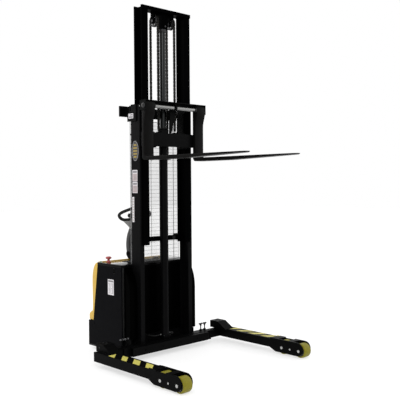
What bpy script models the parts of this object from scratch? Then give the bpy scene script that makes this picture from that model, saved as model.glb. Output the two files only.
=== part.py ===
"""Electric walkie straddle stacker with a raised two-stage mast, adjustable forks and straddle legs.

Metres, +Z up, floor at z = 0. The forks point to -Y, the operator stands at +Y. While the parts are
modelled, y = 0 is the front face of the outer mast rails; the last step moves everything by SHIFT_Y.
"""

import math

import bmesh
import bpy
from mathutils import Matrix, Vector

# ---- driving dimensions -------------------------------------------------------------------------
SHIFT_Y = 0.3015
GAP = 0.0003

FORK_LENGTH = 1.150
FORK_WIDTH = 0.100
FORK_THICK = 0.031
FORK_OUTER = 0.339
FORK_Z = 1.680
SHANK_BACK = -0.083
SHANK_THICK = 0.035

LEG_OUTER = 0.743
LEG_WIDTH = 0.115
LEG_REAR = 0.057
LEG_TOP = 0.121
LEG_BOTTOM = 0.045
LEG_WALL = 0.006
PLATE_THICK = 0.010
WHEEL_R = 0.060
WHEEL_WIDTH = 0.084
AXLE_R = 0.010
AXLE_Y = (-0.9545, -0.7720)
SPACER_Y = -0.863

SLEEVE_HALF = 0.505
SLEEVE_Y = (-0.030, 0.060)
SLEEVE_Z = (0.038, 0.118)
SLEEVE_WALL = 0.006
BEAM_HALF = 0.438
BEAM_FRONT = -0.068
KNOB_X = (0.430, 0.480)
KNOB_Y = 0.030

OUTER_IN = 0.254
OUTER_OUT = 0.297
OUTER_DEPTH = 0.117
OUTER_TOP = 2.150
CROSS_HALF = 0.326
CROSS_Y = (0.228, 0.248)
CROSS_Z = (2.066, 2.158)
GUARD_HALF = 0.270
GUARD_Y = (0.1615, 0.1685)
GUARD_Z = (0.789, 2.035)
INNER_IN = 0.206
INNER_OUT = 0.275
INNER_FRONT = -0.014
INNER_BACK = 0.092
INNER_Z = (0.957, 2.993)
FLANGE = 0.012
WEB = 0.008
INNER_WEB = (0.226, 0.236)
HEAD_PLATE_Z = 2.962
LOWER_BAR_Z = (0.976, 1.020)

CYL_Y = 0.040
BARREL_R = 0.0370
GLAND_R = 0.0400
BARREL_BORE = 0.0285
BARREL_TOP = 1.965
GLAND_DEPTH = 0.044
ROD_R = 0.0270
ROD_Z = (0.980, 2.830)
SHEAVE_X = 0.093
SHEAVE_Z = 2.889
SHEAVE_R = 0.050
CHAIN_THICK = 0.014
CHAIN_WIDTH = 0.019
CHAIN_END = 1.930
ANCHOR_TOP = 1.716

SHAFT_R = 0.0175
SHAFT_Y = -0.116
SHAFT_Z = 2.132
SHAFT_HALF = 0.345
CARRIAGE_FRONT = -0.0825
CARRIAGE_BACK = -0.0675
CARRIAGE_Z = (1.790, 2.178)
ROLLER_R = 0.0395
ROLLER_Y = 0.039
ROLLER_Z = (1.840, 2.110)
ROLLER_PIN_R = 0.012

BODY_HALF = 0.400
BODY_WALL = 0.008
BODY_FRONT = 0.1345
BODY_REAR = 0.630
BODY_TOP = 0.765
BODY_BOTTOM = 0.028
COVER_TOP = 0.788
STEER_Y = 0.460
DRIVE_R = 0.105
DRIVE_WIDTH = 0.075
CASTER_X = 0.300
CASTER_Y = 0.500
CASTER_R = 0.050
CASTER_TRAIL = 0.030
BASE_PLATE = (0.150, 0.160)
ESTOP = (-0.340, 0.400)
ESTOP_R = 0.0265
ESTOP_HEIGHT = 0.053
KEY = (0.335, 0.395)

TILLER_Y = 0.508
TILLER_Z = 0.835
ARM_CENTRE = (0.267, 0.9143)
ARM_R = 0.2536
ARM_HALF = 0.026
ARM_START = -18.2
ARM_END = 34.2
HEAD_BASE = (0, 0.475, 1.110)
HEAD_LEAN = math.radians(14.5)
HEAD_HALF = 0.045
GRIP_R = 0.0145
BUTTON_X = 0.020
BUTTON_ALONG = 0.118
THROTTLE_ALONG = 0.085

# colour, roughness, metallic
LOOKS = {
    "black_paint": ((0.012, 0.012, 0.014), 0.38, 0.0),
    "gloss_black": ((0.008, 0.008, 0.009), 0.15, 0.0),
    "yellow_cover": ((0.80, 0.42, 0.02), 0.40, 0.0),
    "polyurethane": ((0.42, 0.39, 0.05), 0.45, 0.0),
    "steel": ((0.55, 0.55, 0.56), 0.30, 1.0),
    "dark_steel": ((0.10, 0.10, 0.11), 0.40, 0.9),
    "chrome": ((0.75, 0.75, 0.77), 0.12, 1.0),
    "grey_plastic": ((0.36, 0.36, 0.36), 0.50, 0.0),
    "black_plastic": ((0.02, 0.02, 0.02), 0.55, 0.0),
    "red_plastic": ((0.62, 0.02, 0.02), 0.35, 0.0),
    "green_plastic": ((0.03, 0.30, 0.07), 0.35, 0.0),
    "light_wire": ((0.62, 0.62, 0.62), 0.50, 0.3),
}


# ---- scene and modelling helpers ----------------------------------------------------------------
def clear_scene():
    for ob in list(bpy.data.objects):
        bpy.data.objects.remove(ob, do_unlink=True)


def new_collection(name):
    coll = bpy.data.collections.new(name)
    bpy.context.scene.collection.children.link(coll)
    return coll


def add_object(name, mesh, location=(0, 0, 0)):
    ob = bpy.data.objects.new(name, mesh)
    ob.location = location
    PARTS.objects.link(ob)
    return ob


def box(name, xs, ys, zs, bevel=0.0):
    """A box between three pairs of limits, with its long edges optionally rounded."""
    size = Vector((abs(xs[1] - xs[0]), abs(ys[1] - ys[0]), abs(zs[1] - zs[0])))
    centre = Vector((sum(xs) / 2, sum(ys) / 2, sum(zs) / 2))
    bm = bmesh.new()
    bmesh.ops.create_cube(bm, size=1.0, matrix=Matrix.Diagonal((*size, 1)))
    if bevel:
        bmesh.ops.bevel(bm, geom=bm.edges[:], offset=bevel, segments=2, profile=0.6, affect="EDGES")
    mesh = bpy.data.meshes.new(name)
    bm.to_mesh(mesh)
    bm.free()
    return add_object(name, mesh, centre)


def rod(name, start, end, radius, sides=24):
    """A solid cylinder between two points."""
    start, end = Vector(start), Vector(end)
    along = end - start
    bm = bmesh.new()
    bmesh.ops.create_cone(
        bm, cap_ends=True, segments=sides, radius1=radius, radius2=radius, depth=along.length
    )
    turn = Vector((0, 0, 1)).rotation_difference(along).to_matrix().to_4x4()
    bmesh.ops.transform(bm, matrix=turn, verts=bm.verts[:])
    mesh = bpy.data.meshes.new(name)
    bm.to_mesh(mesh)
    bm.free()
    ob = add_object(name, mesh, (start + end) / 2)
    ob.data.set_sharp_from_angle(angle=math.radians(40))
    return ob


def bake(ob):
    """Replace an object by a plain mesh of what its modifiers or curve evaluate to."""
    bpy.context.view_layer.update()
    graph = bpy.context.evaluated_depsgraph_get()
    mesh = bpy.data.meshes.new_from_object(ob.evaluated_get(graph))
    mesh.transform(ob.matrix_world)
    name = ob.name
    bpy.data.objects.remove(ob, do_unlink=True)
    bm = bmesh.new()
    bm.from_mesh(mesh)
    bmesh.ops.remove_doubles(bm, verts=bm.verts[:], dist=0.00002)
    bmesh.ops.recalc_face_normals(bm, faces=bm.faces[:])
    bm.to_mesh(mesh)
    bm.free()
    return add_object(name, mesh)


def outline(name, points, axis, low, high):
    """A flat closed outline pushed along an axis. Points are (y, z) for X, (x, z) for Y, (x, y) for Z."""
    curve = bpy.data.curves.new(name, "CURVE")
    curve.dimensions = "2D"
    curve.fill_mode = "BOTH"
    curve.extrude = abs(high - low) / 2
    spline = curve.splines.new("POLY")
    spline.points.add(len(points) - 1)
    for point, (a, b) in zip(spline.points, points):
        point.co = (a, b, 0, 1)
    spline.use_cyclic_u = True
    ob = bpy.data.objects.new(name, curve)
    PARTS.objects.link(ob)
    middle = (low + high) / 2
    # columns are where the outline's own x, y and z point
    turns = {
        "X": Matrix(((0, 0, 1, middle), (1, 0, 0, 0), (0, 1, 0, 0), (0, 0, 0, 1))),
        "Y": Matrix(((1, 0, 0, 0), (0, 0, -1, middle), (0, 1, 0, 0), (0, 0, 0, 1))),
        "Z": Matrix.Translation((0, 0, middle)),
    }
    ob.matrix_world = turns[axis]
    return bake(ob)


def turned(name, profile, axis, centre, steps=32, ring=False):
    """A profile of (radius, height) turned about an axis through centre; a ring's profile is closed."""
    mesh = bpy.data.meshes.new(name)
    edges = [(i, i + 1) for i in range(len(profile) - 1)]
    if ring:
        edges.append((len(profile) - 1, 0))
    mesh.from_pydata([(r, 0, h) for r, h in profile], edges, [])
    ob = bpy.data.objects.new(name, mesh)
    PARTS.objects.link(ob)
    screw = ob.modifiers.new("turn", "SCREW")
    screw.axis = "Z"
    screw.steps = steps
    screw.render_steps = steps
    screw.use_merge_vertices = True
    screw.merge_threshold = 0.00005
    if axis == "X":
        ob.rotation_euler = (0, math.radians(90), 0)
    ob.location = centre
    result = bake(ob)
    result.data.shade_smooth()
    result.data.set_sharp_from_angle(angle=math.radians(35))
    return result


def tube(name, points, radius, cyclic=False, resolution=2):
    """A round tube along straight runs between points."""
    curve = bpy.data.curves.new(name, "CURVE")
    curve.dimensions = "3D"
    curve.bevel_depth = radius
    curve.bevel_resolution = resolution
    curve.use_fill_caps = True
    spline = curve.splines.new("POLY")
    spline.points.add(len(points) - 1)
    for point, co in zip(spline.points, points):
        point.co = (*co, 1)
    spline.use_cyclic_u = cyclic
    ob = bpy.data.objects.new(name, curve)
    PARTS.objects.link(ob)
    result = bake(ob)
    result.data.shade_smooth()
    result.data.set_sharp_from_angle(angle=math.radians(50))
    return result


def boolean(ob, other, operation):
    other.name = f"{ob.name}_cutter"
    PARTS.objects.unlink(other)
    CUTTERS.objects.link(other)
    other.hide_render = True
    other.display_type = "WIRE"
    modifier = ob.modifiers.new(operation.lower(), "BOOLEAN")
    modifier.operation = operation
    modifier.object = other


def fuse(ob, *others):
    for other in others:
        boolean(ob, other, "UNION")


def cut(ob, *others):
    for other in others:
        boolean(ob, other, "DIFFERENCE")


def finish(ob, look, pivot=None):
    """Give a part its own material, and put its origin on its joint's axis if it moves."""
    colour, roughness, metallic = LOOKS[look]
    material = bpy.data.materials.new(f"{ob.name}_{look}")
    material.use_nodes = True
    shader = material.node_tree.nodes["Principled BSDF"]
    shader.inputs["Base Color"].default_value = (*colour, 1)
    shader.inputs["Roughness"].default_value = roughness
    shader.inputs["Metallic"].default_value = metallic
    ob.data.materials.clear()
    ob.data.materials.append(material)
    if pivot is not None:
        ob.data.transform(Matrix.Translation(ob.location - Vector(pivot)))
        ob.location = pivot
    return ob


def sides():
    return (("left", -1), ("right", 1))


def span(side, near, far):
    """The X limits of something between two distances from the centre plane."""
    return tuple(sorted((side * near, side * far)))


def arc(centre, radius, start, end, count):
    """Points on a circle's arc, with the angles in degrees."""
    steps = [math.radians(start + (end - start) * i / count) for i in range(count + 1)]
    return [(centre[0] + radius * math.cos(a), centre[1] + radius * math.sin(a)) for a in steps]


# ---- chassis ------------------------------------------------------------------------------------
def base_frame():
    """The cross sleeve that the legs slide in, joined to the plate that carries the power unit."""
    name = "base_frame"
    plate_half = 0.365
    frame = box(name, (-SLEEVE_HALF, SLEEVE_HALF), SLEEVE_Y, SLEEVE_Z)
    for _, side in sides():
        flange_x = span(side, plate_half - 0.010, plate_half - 0.0005)
        fuse(frame, box(name, flange_x, (0.056, 0.370), (0.085, 0.155)))
    fuse(
        frame,
        box(name, (-plate_half, plate_half), (0.1205, 0.600), BASE_PLATE),
        box(name, (-0.360, 0.360), (0.1200, 0.128), (0.090, 0.155)),
        rod(name, (0, STEER_Y, 0.155), (0, STEER_Y, 0.210), 0.122, 40),
    )
    inner = SLEEVE_WALL
    cavity_y = (SLEEVE_Y[0] + inner, SLEEVE_Y[1] - inner)
    cavity_z = (SLEEVE_Z[0] + inner, SLEEVE_Z[1] - inner)
    cut(
        frame,
        box(name, (-0.6, 0.6), cavity_y, cavity_z),
        rod(name, (0, STEER_Y, 0.10), (0, STEER_Y, 0.25), DRIVE_R, 40),
    )
    return finish(frame, "black_paint")


def front_beam():
    """An open channel in front of the sleeve."""
    depth = (BEAM_FRONT, SLEEVE_Y[0] - GAP)
    beam = box("front_beam", (-BEAM_HALF, BEAM_HALF), depth, (LEG_BOTTOM, 0.117), 0.003)
    cut(beam, box("front_beam", (-0.5, 0.5), (BEAM_FRONT + 0.006, 0), (LEG_BOTTOM + 0.006, 0.111)))
    return finish(beam, "black_paint")


def outer_rail(label, side):
    """A channel that opens towards the middle of the mast."""
    points = [
        (OUTER_OUT, 0),
        (OUTER_OUT, OUTER_DEPTH),
        (OUTER_IN, OUTER_DEPTH),
        (OUTER_IN, OUTER_DEPTH - FLANGE),
        (OUTER_OUT - WEB, OUTER_DEPTH - FLANGE),
        (OUTER_OUT - WEB, FLANGE),
        (OUTER_IN, FLANGE),
        (OUTER_IN, 0),
    ]
    rail = outline(
        f"{label}_outer_rail", [(side * x, y) for x, y in points], "Z", SLEEVE_Z[1] + GAP, OUTER_TOP
    )
    return finish(rail, "black_paint")


def outer_top_crossmember():
    """The bar behind the outer rails, on two arms, with a hooked plate on each rail's outside."""
    name = "outer_top_crossmember"
    inside = OUTER_OUT + GAP
    outside = inside + 0.010
    rear = OUTER_DEPTH + GAP
    bridge = box(name, (-CROSS_HALF, CROSS_HALF), CROSS_Y, CROSS_Z, 0.003)
    side_plate = [
        (0.036, 2.016),
        (0.152, 2.016),
        (0.152, 2.084),
        (0.113, 2.094),
        (0.104, 2.104),
        (0.104, CROSS_Z[1]),
        (0.036, CROSS_Z[1]),
    ]
    for _, side in sides():
        fuse(
            bridge,
            outline(name, side_plate, "X", *span(side, inside, outside)),
            box(name, span(side, 0.2615, outside - 0.0005), (rear, rear + 0.010), (2.022, 2.150)),
            box(name, span(side, 0.262, 0.272), (rear + 0.005, CROSS_Y[0] + 0.001), (2.080, 2.145)),
        )
    return finish(bridge, "black_paint")


def cylinder_barrel():
    """The lift cylinder's barrel, with its foot, its gland and the bar that the chains end on."""
    name = "cylinder_barrel"
    foot_z = SLEEVE_Z[1] + GAP
    profile = [
        (0, BARREL_TOP - 0.001),
        (GLAND_R, BARREL_TOP),
        (GLAND_R, BARREL_TOP - GLAND_DEPTH),
        (BARREL_R, BARREL_TOP - GLAND_DEPTH - 0.006),
        (BARREL_R, foot_z + 0.010),
        (0, foot_z + 0.010),
    ]
    barrel = turned(name, profile, "Z", (0, CYL_Y, 0), 32)
    fuse(
        barrel,
        box(name, (-0.045, 0.045), (0.0, 0.078), (foot_z, foot_z + 0.025)),
        box(name, (-0.108, 0.108), (0.058, 0.102), (ANCHOR_TOP - 0.020, ANCHOR_TOP)),
    )
    cut(barrel, rod(name, (0, CYL_Y, 0.160), (0, CYL_Y, BARREL_TOP + 0.1), BARREL_BORE, 32))
    return finish(barrel, "gloss_black")


def mesh_guard():
    """A light frame of rods between the operator and the mast, on four stand-offs."""
    name = "mesh_guard"
    low, high = GUARD_Z
    columns = 4
    rows = 6
    guard = box(name, (-GUARD_HALF, GUARD_HALF), GUARD_Y, GUARD_Z)
    rim = 0.010
    wire = 0.006
    cell_w = (2 * GUARD_HALF - 2 * rim - (columns - 1) * wire) / columns
    cell_h = (high - low - 2 * rim - (rows - 1) * wire) / rows
    bm = bmesh.new()
    for column in range(columns):
        for row in range(rows):
            x = -GUARD_HALF + rim + cell_w / 2 + column * (cell_w + wire)
            z = low + rim + cell_h / 2 + row * (cell_h + wire)
            place = Matrix.Translation((x, 0, z)) @ Matrix.Diagonal((cell_w, 0.1, cell_h, 1))
            bmesh.ops.create_cube(bm, size=1.0, matrix=place)
    mesh = bpy.data.meshes.new(name)
    bm.to_mesh(mesh)
    bm.free()
    cut(guard, add_object(name, mesh, (0, sum(GUARD_Y) / 2, 0)))
    lug_y = (OUTER_DEPTH + GAP, GUARD_Y[0] + 0.0025)
    for _, side in sides():
        for z in (0.960, 1.900):
            fuse(guard, box(name, span(side, OUTER_IN + 0.0005, GUARD_HALF - 0.0005), lug_y, (z, z + 0.020)))
    return finish(guard, "light_wire")


# ---- power unit ---------------------------------------------------------------------------------
def side_housing():
    """Both side panels with the low wall that joins them behind, and the flanges they stand on."""
    name = "side_housing"
    wall_top = 0.255
    panel = [
        (BODY_FRONT, BODY_BOTTOM),
        (BODY_REAR, BODY_BOTTOM),
        (BODY_REAR, wall_top),
        (0.5570, wall_top),
        (0.4840, BODY_TOP),
        (BODY_FRONT, BODY_TOP),
    ]
    inner = BODY_HALF - BODY_WALL
    housing = box(
        name,
        (-BODY_HALF + 0.001, BODY_HALF - 0.001),
        (BODY_REAR - BODY_WALL, BODY_REAR - 0.0005),
        (BODY_BOTTOM + 0.0005, wall_top - 0.0005),
    )
    for _, side in sides():
        fuse(
            housing,
            outline(name, panel, "X", *span(side, inner, BODY_HALF)),
            box(name, span(side, 0.305, inner + 0.004), (0.1350, 0.1425), (0.1605, BODY_TOP - 0.001)),
            box(name, span(side, 0.305, inner + 0.004), (0.1400, 0.598), (BASE_PLATE[1] + GAP, 0.166)),
        )
        cut(housing, box(name, span(side, 0.36, 0.42), (0.230, 0.248), (0.710, 0.750)))
    return finish(housing, "black_paint")


def front_cover():
    """The wall behind the mast with a curved wing outside each rail."""
    name = "front_cover"
    low = 0.1605
    back = BODY_FRONT - GAP
    cover = box(name, (-0.3775, 0.3775), (OUTER_DEPTH + 0.003, back), (low, BODY_TOP - 0.0005))
    front, turn_y, turn_z, rise = 0.045, 0.170, 0.530, 0.235
    curve = []
    count = 8
    last = math.acos((turn_y - back) / (turn_y - front))
    for i in range(count + 1):
        angle = last * i / count
        curve.append((turn_y - (turn_y - front) * math.cos(angle), turn_z + rise * math.sin(angle)))
    foot = low + 0.0005
    profile = [(back - 0.0005, foot), (front, foot), *curve[:-1], (back - 0.0005, curve[-1][1])]
    for _, side in sides():
        fuse(cover, outline(name, profile, "X", *span(side, OUTER_OUT + 0.003, 0.378)))
    return finish(cover, "gloss_black")


def top_cover():
    """The lid, notched for the steering column."""
    name = "top_cover"
    lid = box(name, (-0.402, 0.402), (OUTER_DEPTH + 0.003, 0.484), (BODY_TOP + GAP, COVER_TOP), 0.004)
    cut(
        lid,
        rod(name, (0, STEER_Y, 0.7), (0, STEER_Y, 0.9), 0.036, 32),
        box(name, (-0.036, 0.036), (STEER_Y, 0.6), (0.7, 0.9)),
    )
    return finish(lid, "gloss_black")


def cover_profile(inset):
    """The rear cover's side view, moved in from the outside by inset."""
    top = 0.785 - inset
    back = 0.579 - inset
    return [
        (0.5575, 0.2553 + inset),
        (BODY_REAR - inset, 0.2553 + inset),
        (BODY_REAR - inset, 0.312 - inset / 2),
        (0.619 - inset, 0.326 - inset),
        (back + 0.002, 0.350 - inset / 2),
        (back - 0.003, 0.450),
        (back, 0.600),
        (back - 0.004, 0.668),
        (back - 0.020, 0.724 - inset / 2),
        (0.534 - inset / 2, 0.768 - inset),
        (0.512, top),
        (0.4845, top),
    ]


def rear_cover():
    """The bulging moulded cover on the operator's side."""
    name = "rear_cover"
    half = 0.3975
    wall = 0.004
    cover = outline(name, cover_profile(0), "X", -half, half)
    inside = cover_profile(wall)
    inside[0] = (0.540, inside[0][1])
    inside[-1] = (0.470, inside[-1][1])
    cut(
        cover,
        outline(name, inside, "X", -half + wall, half - wall),
        rod(name, (0, STEER_Y, 0.7), (0, STEER_Y, 0.9), 0.036, 32),
    )
    return finish(cover, "yellow_cover")


def battery():
    base = BASE_PLATE[1] + GAP
    pack = box("battery", (-0.280, 0.280), (0.146, 0.330), (base, 0.500), 0.006)
    for x in (-0.18, 0.18):
        fuse(pack, rod("battery", (x, 0.240, 0.495), (x, 0.240, 0.520), 0.010, 16))
    return finish(pack, "black_plastic")


def pump_unit():
    """Oil tank with the pump motor standing on it."""
    base = BASE_PLATE[1] + GAP
    unit = box("pump_unit", (-0.300, -0.150), (0.380, 0.540), (base, 0.300), 0.006)
    fuse(
        unit,
        rod("pump_unit", (-0.225, 0.460, 0.295), (-0.225, 0.460, 0.330), 0.035, 24),
        rod("pump_unit", (-0.225, 0.460, 0.325), (-0.225, 0.460, 0.480), 0.055, 24),
    )
    return finish(unit, "dark_steel")


def controller_box():
    base = BASE_PLATE[1] + GAP
    unit = box("controller_box", (0.150, 0.300), (0.390, 0.530), (base, 0.380), 0.004)
    for i in range(5):
        fin = box("controller_box", (0.162 + i * 0.028, 0.170 + i * 0.028), (0.400, 0.520), (0.375, 0.400))
        fuse(unit, fin)
    return finish(unit, "steel")


def estop_base():
    low = COVER_TOP + GAP
    ring = [(0.0165, low + 0.017), (0.0190, low), (0.0105, low), (0.0105, low + 0.017)]
    return finish(turned("estop_base", ring, "Z", (*ESTOP, 0), 24, ring=True), "red_plastic")


def estop_button():
    top = COVER_TOP + ESTOP_HEIGHT
    profile = [
        (0, top),
        (ESTOP_R - 0.009, top - 0.001),
        (ESTOP_R - 0.002, top - 0.006),
        (ESTOP_R, top - 0.012),
        (ESTOP_R - 0.001, top - 0.018),
        (0.013, top - 0.023),
        (0.010, top - 0.028),
        (0.010, COVER_TOP + 0.006),
        (0, COVER_TOP + 0.006),
    ]
    return finish(turned("estop_button", profile, "Z", (*ESTOP, 0), 24), "red_plastic", (*ESTOP, COVER_TOP))


def key_switch():
    low = COVER_TOP + GAP
    x, y = KEY
    bow = low + 0.026
    lock = rod("key_switch", (x, y, low), (x, y, low + 0.008), 0.012, 24)
    fuse(
        lock,
        box("key_switch", (x - 0.0012, x + 0.0012), (y - 0.004, y + 0.004), (low + 0.004, low + 0.018)),
        rod("key_switch", (x - 0.001, y, bow), (x + 0.001, y, bow), 0.011, 20),
    )
    return finish(lock, "steel", (*KEY, low))


def battery_gauge():
    low = COVER_TOP + GAP
    gauge = box("battery_gauge", (0.175, 0.235), (0.375, 0.415), (low, low + 0.010), 0.003)
    return finish(gauge, "black_plastic")


# ---- drive, casters -----------------------------------------------------------------------------
def drive_unit():
    """The turret disc that turns on the base frame's ring, the traction motor above and gearcase below."""
    name = "drive_unit"
    disc_low = 0.210 + GAP
    unit = rod(name, (0, STEER_Y, disc_low), (0, STEER_Y, disc_low + 0.022), 0.117, 40)
    case = [
        *arc((STEER_Y, DRIVE_R), 0.048, 180, 360, 8),
        (STEER_Y + 0.048, disc_low + 0.005),
        (STEER_Y - 0.048, disc_low + 0.005),
    ]
    fuse(
        unit,
        outline(name, case, "X", 0.0400, 0.0780),
        rod(name, (-0.030, STEER_Y, DRIVE_R), (0.050, STEER_Y, DRIVE_R), 0.0150, 24),
        rod(name, (0, STEER_Y, disc_low + 0.020), (0, STEER_Y, 0.460), 0.072, 32),
        rod(name, (0, STEER_Y, 0.455), (0, STEER_Y, 0.480), 0.050, 32),
    )
    return finish(unit, "dark_steel", (0, STEER_Y, disc_low))


def wheel_profile(radius, width, bore):
    """A ring with chamfered tread edges, for a wheel turned about its bore."""
    half = width / 2
    soft = min(0.006, half / 3)
    return [
        (radius, half - soft),
        (radius, soft - half),
        (radius - soft, -half),
        (bore, -half),
        (bore, half),
        (radius - soft, half),
    ]


def drive_wheel():
    centre = (0, STEER_Y, DRIVE_R)
    profile = wheel_profile(DRIVE_R, DRIVE_WIDTH, 0.0150 + GAP)
    return finish(turned("drive_wheel", profile, "X", centre, 32, ring=True), "polyurethane", centre)


def caster_fork(label, side):
    name = f"{label}_caster_fork"
    x, y = side * CASTER_X, CASTER_Y
    top = BASE_PLATE[0] - GAP
    axle_y = y + CASTER_TRAIL
    fork = rod(name, (x, y, top - 0.012), (x, y, top), 0.036, 24)
    cheek = [
        (y - 0.026, top - 0.008),
        (y + 0.028, top - 0.008),
        (axle_y + 0.014, CASTER_R + 0.004),
        *arc((axle_y, CASTER_R), 0.014, 0, -180, 6)[1:],
        (y - 0.010, 0.092),
    ]
    for cheek_side in (-1, 1):
        near, far = 0.0185, 0.0225
        fuse(fork, outline(name, cheek, "X", *sorted((x + cheek_side * near, x + cheek_side * far))))
    fuse(
        fork,
        box(name, (x - 0.0222, x + 0.0222), (y - 0.024, y + 0.026), (top - 0.011, top - 0.0075)),
        rod(name, (x - 0.0260, axle_y, CASTER_R), (x + 0.0260, axle_y, CASTER_R), 0.005, 16),
    )
    return finish(fork, "steel", (x, y, top))


def caster_wheel(label, side):
    centre = (side * CASTER_X, CASTER_Y + CASTER_TRAIL, CASTER_R)
    profile = wheel_profile(CASTER_R, 0.034, 0.005 + GAP)
    wheel = turned(f"{label}_caster_wheel", profile, "X", centre, 24, ring=True)
    return finish(wheel, "polyurethane", centre)


def steering_column():
    """The tube up from the drive unit, with the fork that the tiller is hinged in."""
    name = "steering_column"
    column = rod(name, (0, STEER_Y, 0.480 + GAP), (0, STEER_Y, 0.800), 0.028, 28)
    cheek = [
        (0.432, 0.7895),
        (TILLER_Y - 0.008, 0.7895),
        (TILLER_Y + 0.020, TILLER_Z - 0.016),
        *arc((TILLER_Y, TILLER_Z), 0.024, -20, 150, 8),
        (TILLER_Y - 0.050, 0.812),
        (0.432, 0.812),
    ]
    for _, side in sides():
        fuse(column, outline(name, cheek, "X", *span(side, 0.0340, 0.0440)))
    fuse(
        column,
        box(name, (-0.0435, 0.0435), (0.4325, 0.4860), (0.7900, 0.8115)),
        rod(name, (-0.0480, TILLER_Y, TILLER_Z), (0.0480, TILLER_Y, TILLER_Z), 0.008, 20),
    )
    return finish(column, "black_paint", (0, STEER_Y, 0.480))


# ---- tiller -------------------------------------------------------------------------------------
def tiller_arm():
    """A flat arm that bows towards the operator, bored for the hinge pin."""
    name = "tiller_arm"
    count = 12
    rear = arc(ARM_CENTRE, ARM_R + ARM_HALF, ARM_START + 2, ARM_END, count)
    front = arc(ARM_CENTRE, ARM_R - ARM_HALF, ARM_END, ARM_START + 6, count)
    hub = arc((TILLER_Y, TILLER_Z), 0.027, 170, 350, 10)
    arm = outline(name, [*rear, *front, *hub], "X", -0.0320, 0.0320)
    cut(arm, rod(name, (-0.1, TILLER_Y, TILLER_Z), (0.1, TILLER_Y, TILLER_Z), 0.008 + GAP, 20))
    return finish(arm, "black_plastic", (0, TILLER_Y, TILLER_Z))


def on_head(x, along, out):
    """A point by its place across the tiller head, up along it and out of its button face."""
    up = Vector((0, -math.sin(HEAD_LEAN), math.cos(HEAD_LEAN)))
    face = Vector((0, -math.cos(HEAD_LEAN), -math.sin(HEAD_LEAN)))
    return Vector(HEAD_BASE) + Vector((x, 0, 0)) + up * along + face * out


def grip_points():
    """The grip loop's centre line: a flat bar below, soft corners and a top that rises to the middle."""
    half = [
        (0.000, 0.046),
        (0.070, 0.045),
        (0.120, 0.046),
        (0.155, 0.060),
        (0.178, 0.082),
        (0.177, 0.100),
        (0.150, 0.118),
        (0.075, 0.142),
        (0.000, 0.160),
    ]
    right = [on_head(x, along, 0) for x, along in half]
    left = [on_head(-x, along, 0) for x, along in half[-2:0:-1]]
    return right + left


def head_fairing(name):
    """The head's lower wings, which widen from the arm up to the grip loop's bar."""
    wings = [
        (-0.122, 0.035),
        (-0.112, 0.024),
        (-0.036, -0.034),
        (0.036, -0.034),
        (0.112, 0.024),
        (0.122, 0.035),
    ]
    fairing = outline(name, wings, "Y", -0.014, 0.014)
    fairing.data.transform(Matrix.Translation(HEAD_BASE) @ Matrix.Rotation(HEAD_LEAN, 4, "X"))
    return fairing


def tiller_head():
    """The control head, cut for the grip loop and for its buttons."""
    name = "tiller_head"
    seat = ARM_END + 0.3
    foot = [arc(ARM_CENTRE, ARM_R + step, seat, seat, 1)[0] for step in (-ARM_HALF, ARM_HALF)]
    side_view = [
        (0.040, -0.031),
        (0.120, -0.027),
        (0.200, -0.022),
        (0.211, -0.010),
        (0.211, 0.012),
        (0.200, 0.024),
        (0.110, 0.030),
        (0.030, 0.031),
    ]
    points = [on_head(0, along, out) for along, out in side_view]
    head = outline(name, [*foot, *[(p.y, p.z) for p in points]], "X", -HEAD_HALF, HEAD_HALF)
    fuse(head, head_fairing(name))
    cut(
        head,
        tube(name, grip_points(), GRIP_R + GAP, cyclic=True),
        rod(name, on_head(0, 0.196, 0.001), on_head(0, 0.260, 0.001), 0.0160, 24),
    )
    for x in (-BUTTON_X, BUTTON_X):
        hole = on_head(x, BUTTON_ALONG, 0.020), on_head(x, BUTTON_ALONG, 0.060)
        cut(head, rod(name, *hole, 0.0085, 16))
    return finish(head, "grey_plastic", (0, TILLER_Y, TILLER_Z))


def grip_loop():
    loop = tube("grip_loop", grip_points(), GRIP_R, cyclic=True)
    return finish(loop, "black_plastic", (0, TILLER_Y, TILLER_Z))


def throttle(label, side):
    """A butterfly on the head's side: a round hub with a thumb paddle."""
    name = f"{label}_throttle"
    near, far, pivot = (on_head(side * x, THROTTLE_ALONG, 0) for x in (0.0458, 0.0720, 0.0600))
    hub = rod(name, near, far, 0.0190, 24)
    corners = [(-0.014, 0.012), (0.015, 0.012), (0.007, 0.052), (-0.007, 0.052)]
    points = [on_head(0, THROTTLE_ALONG + step, out) for step, out in corners]
    paddle = outline(name, [(p.y, p.z) for p in points], "X", *span(side, 0.0470, 0.0715))
    fuse(hub, paddle)
    return finish(hub, "black_plastic", pivot)


def belly_button():
    cap = rod("belly_button", on_head(0, 0.202, 0.001), on_head(0, 0.222, 0.001), 0.0155, 24)
    return finish(cap, "red_plastic", on_head(0, 0.211, 0.001))


def head_button(name, x, look):
    low, high, rest = (on_head(x, BUTTON_ALONG, out) for out in (0.0235, 0.0325, 0.0300))
    return finish(rod(name, low, high, 0.0080, 16), look, rest)


# ---- lifting mast -------------------------------------------------------------------------------
def inner_rail(label, side):
    """An I section whose rear flange runs inside the outer rail."""
    points = [
        (INNER_IN, INNER_FRONT),
        (INNER_OUT, INNER_FRONT),
        (INNER_OUT, INNER_FRONT + FLANGE),
        (INNER_WEB[1], INNER_FRONT + FLANGE),
        (INNER_WEB[1], INNER_BACK - FLANGE),
        (INNER_OUT, INNER_BACK - FLANGE),
        (INNER_OUT, INNER_BACK),
        (INNER_IN, INNER_BACK),
        (INNER_IN, INNER_BACK - FLANGE),
        (INNER_WEB[0], INNER_BACK - FLANGE),
        (INNER_WEB[0], INNER_FRONT + FLANGE),
        (INNER_IN, INNER_FRONT + FLANGE),
    ]
    rail = outline(f"{label}_inner_rail", [(side * x, y) for x, y in points], "Z", *INNER_Z)
    return finish(rail, "black_paint")


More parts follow.
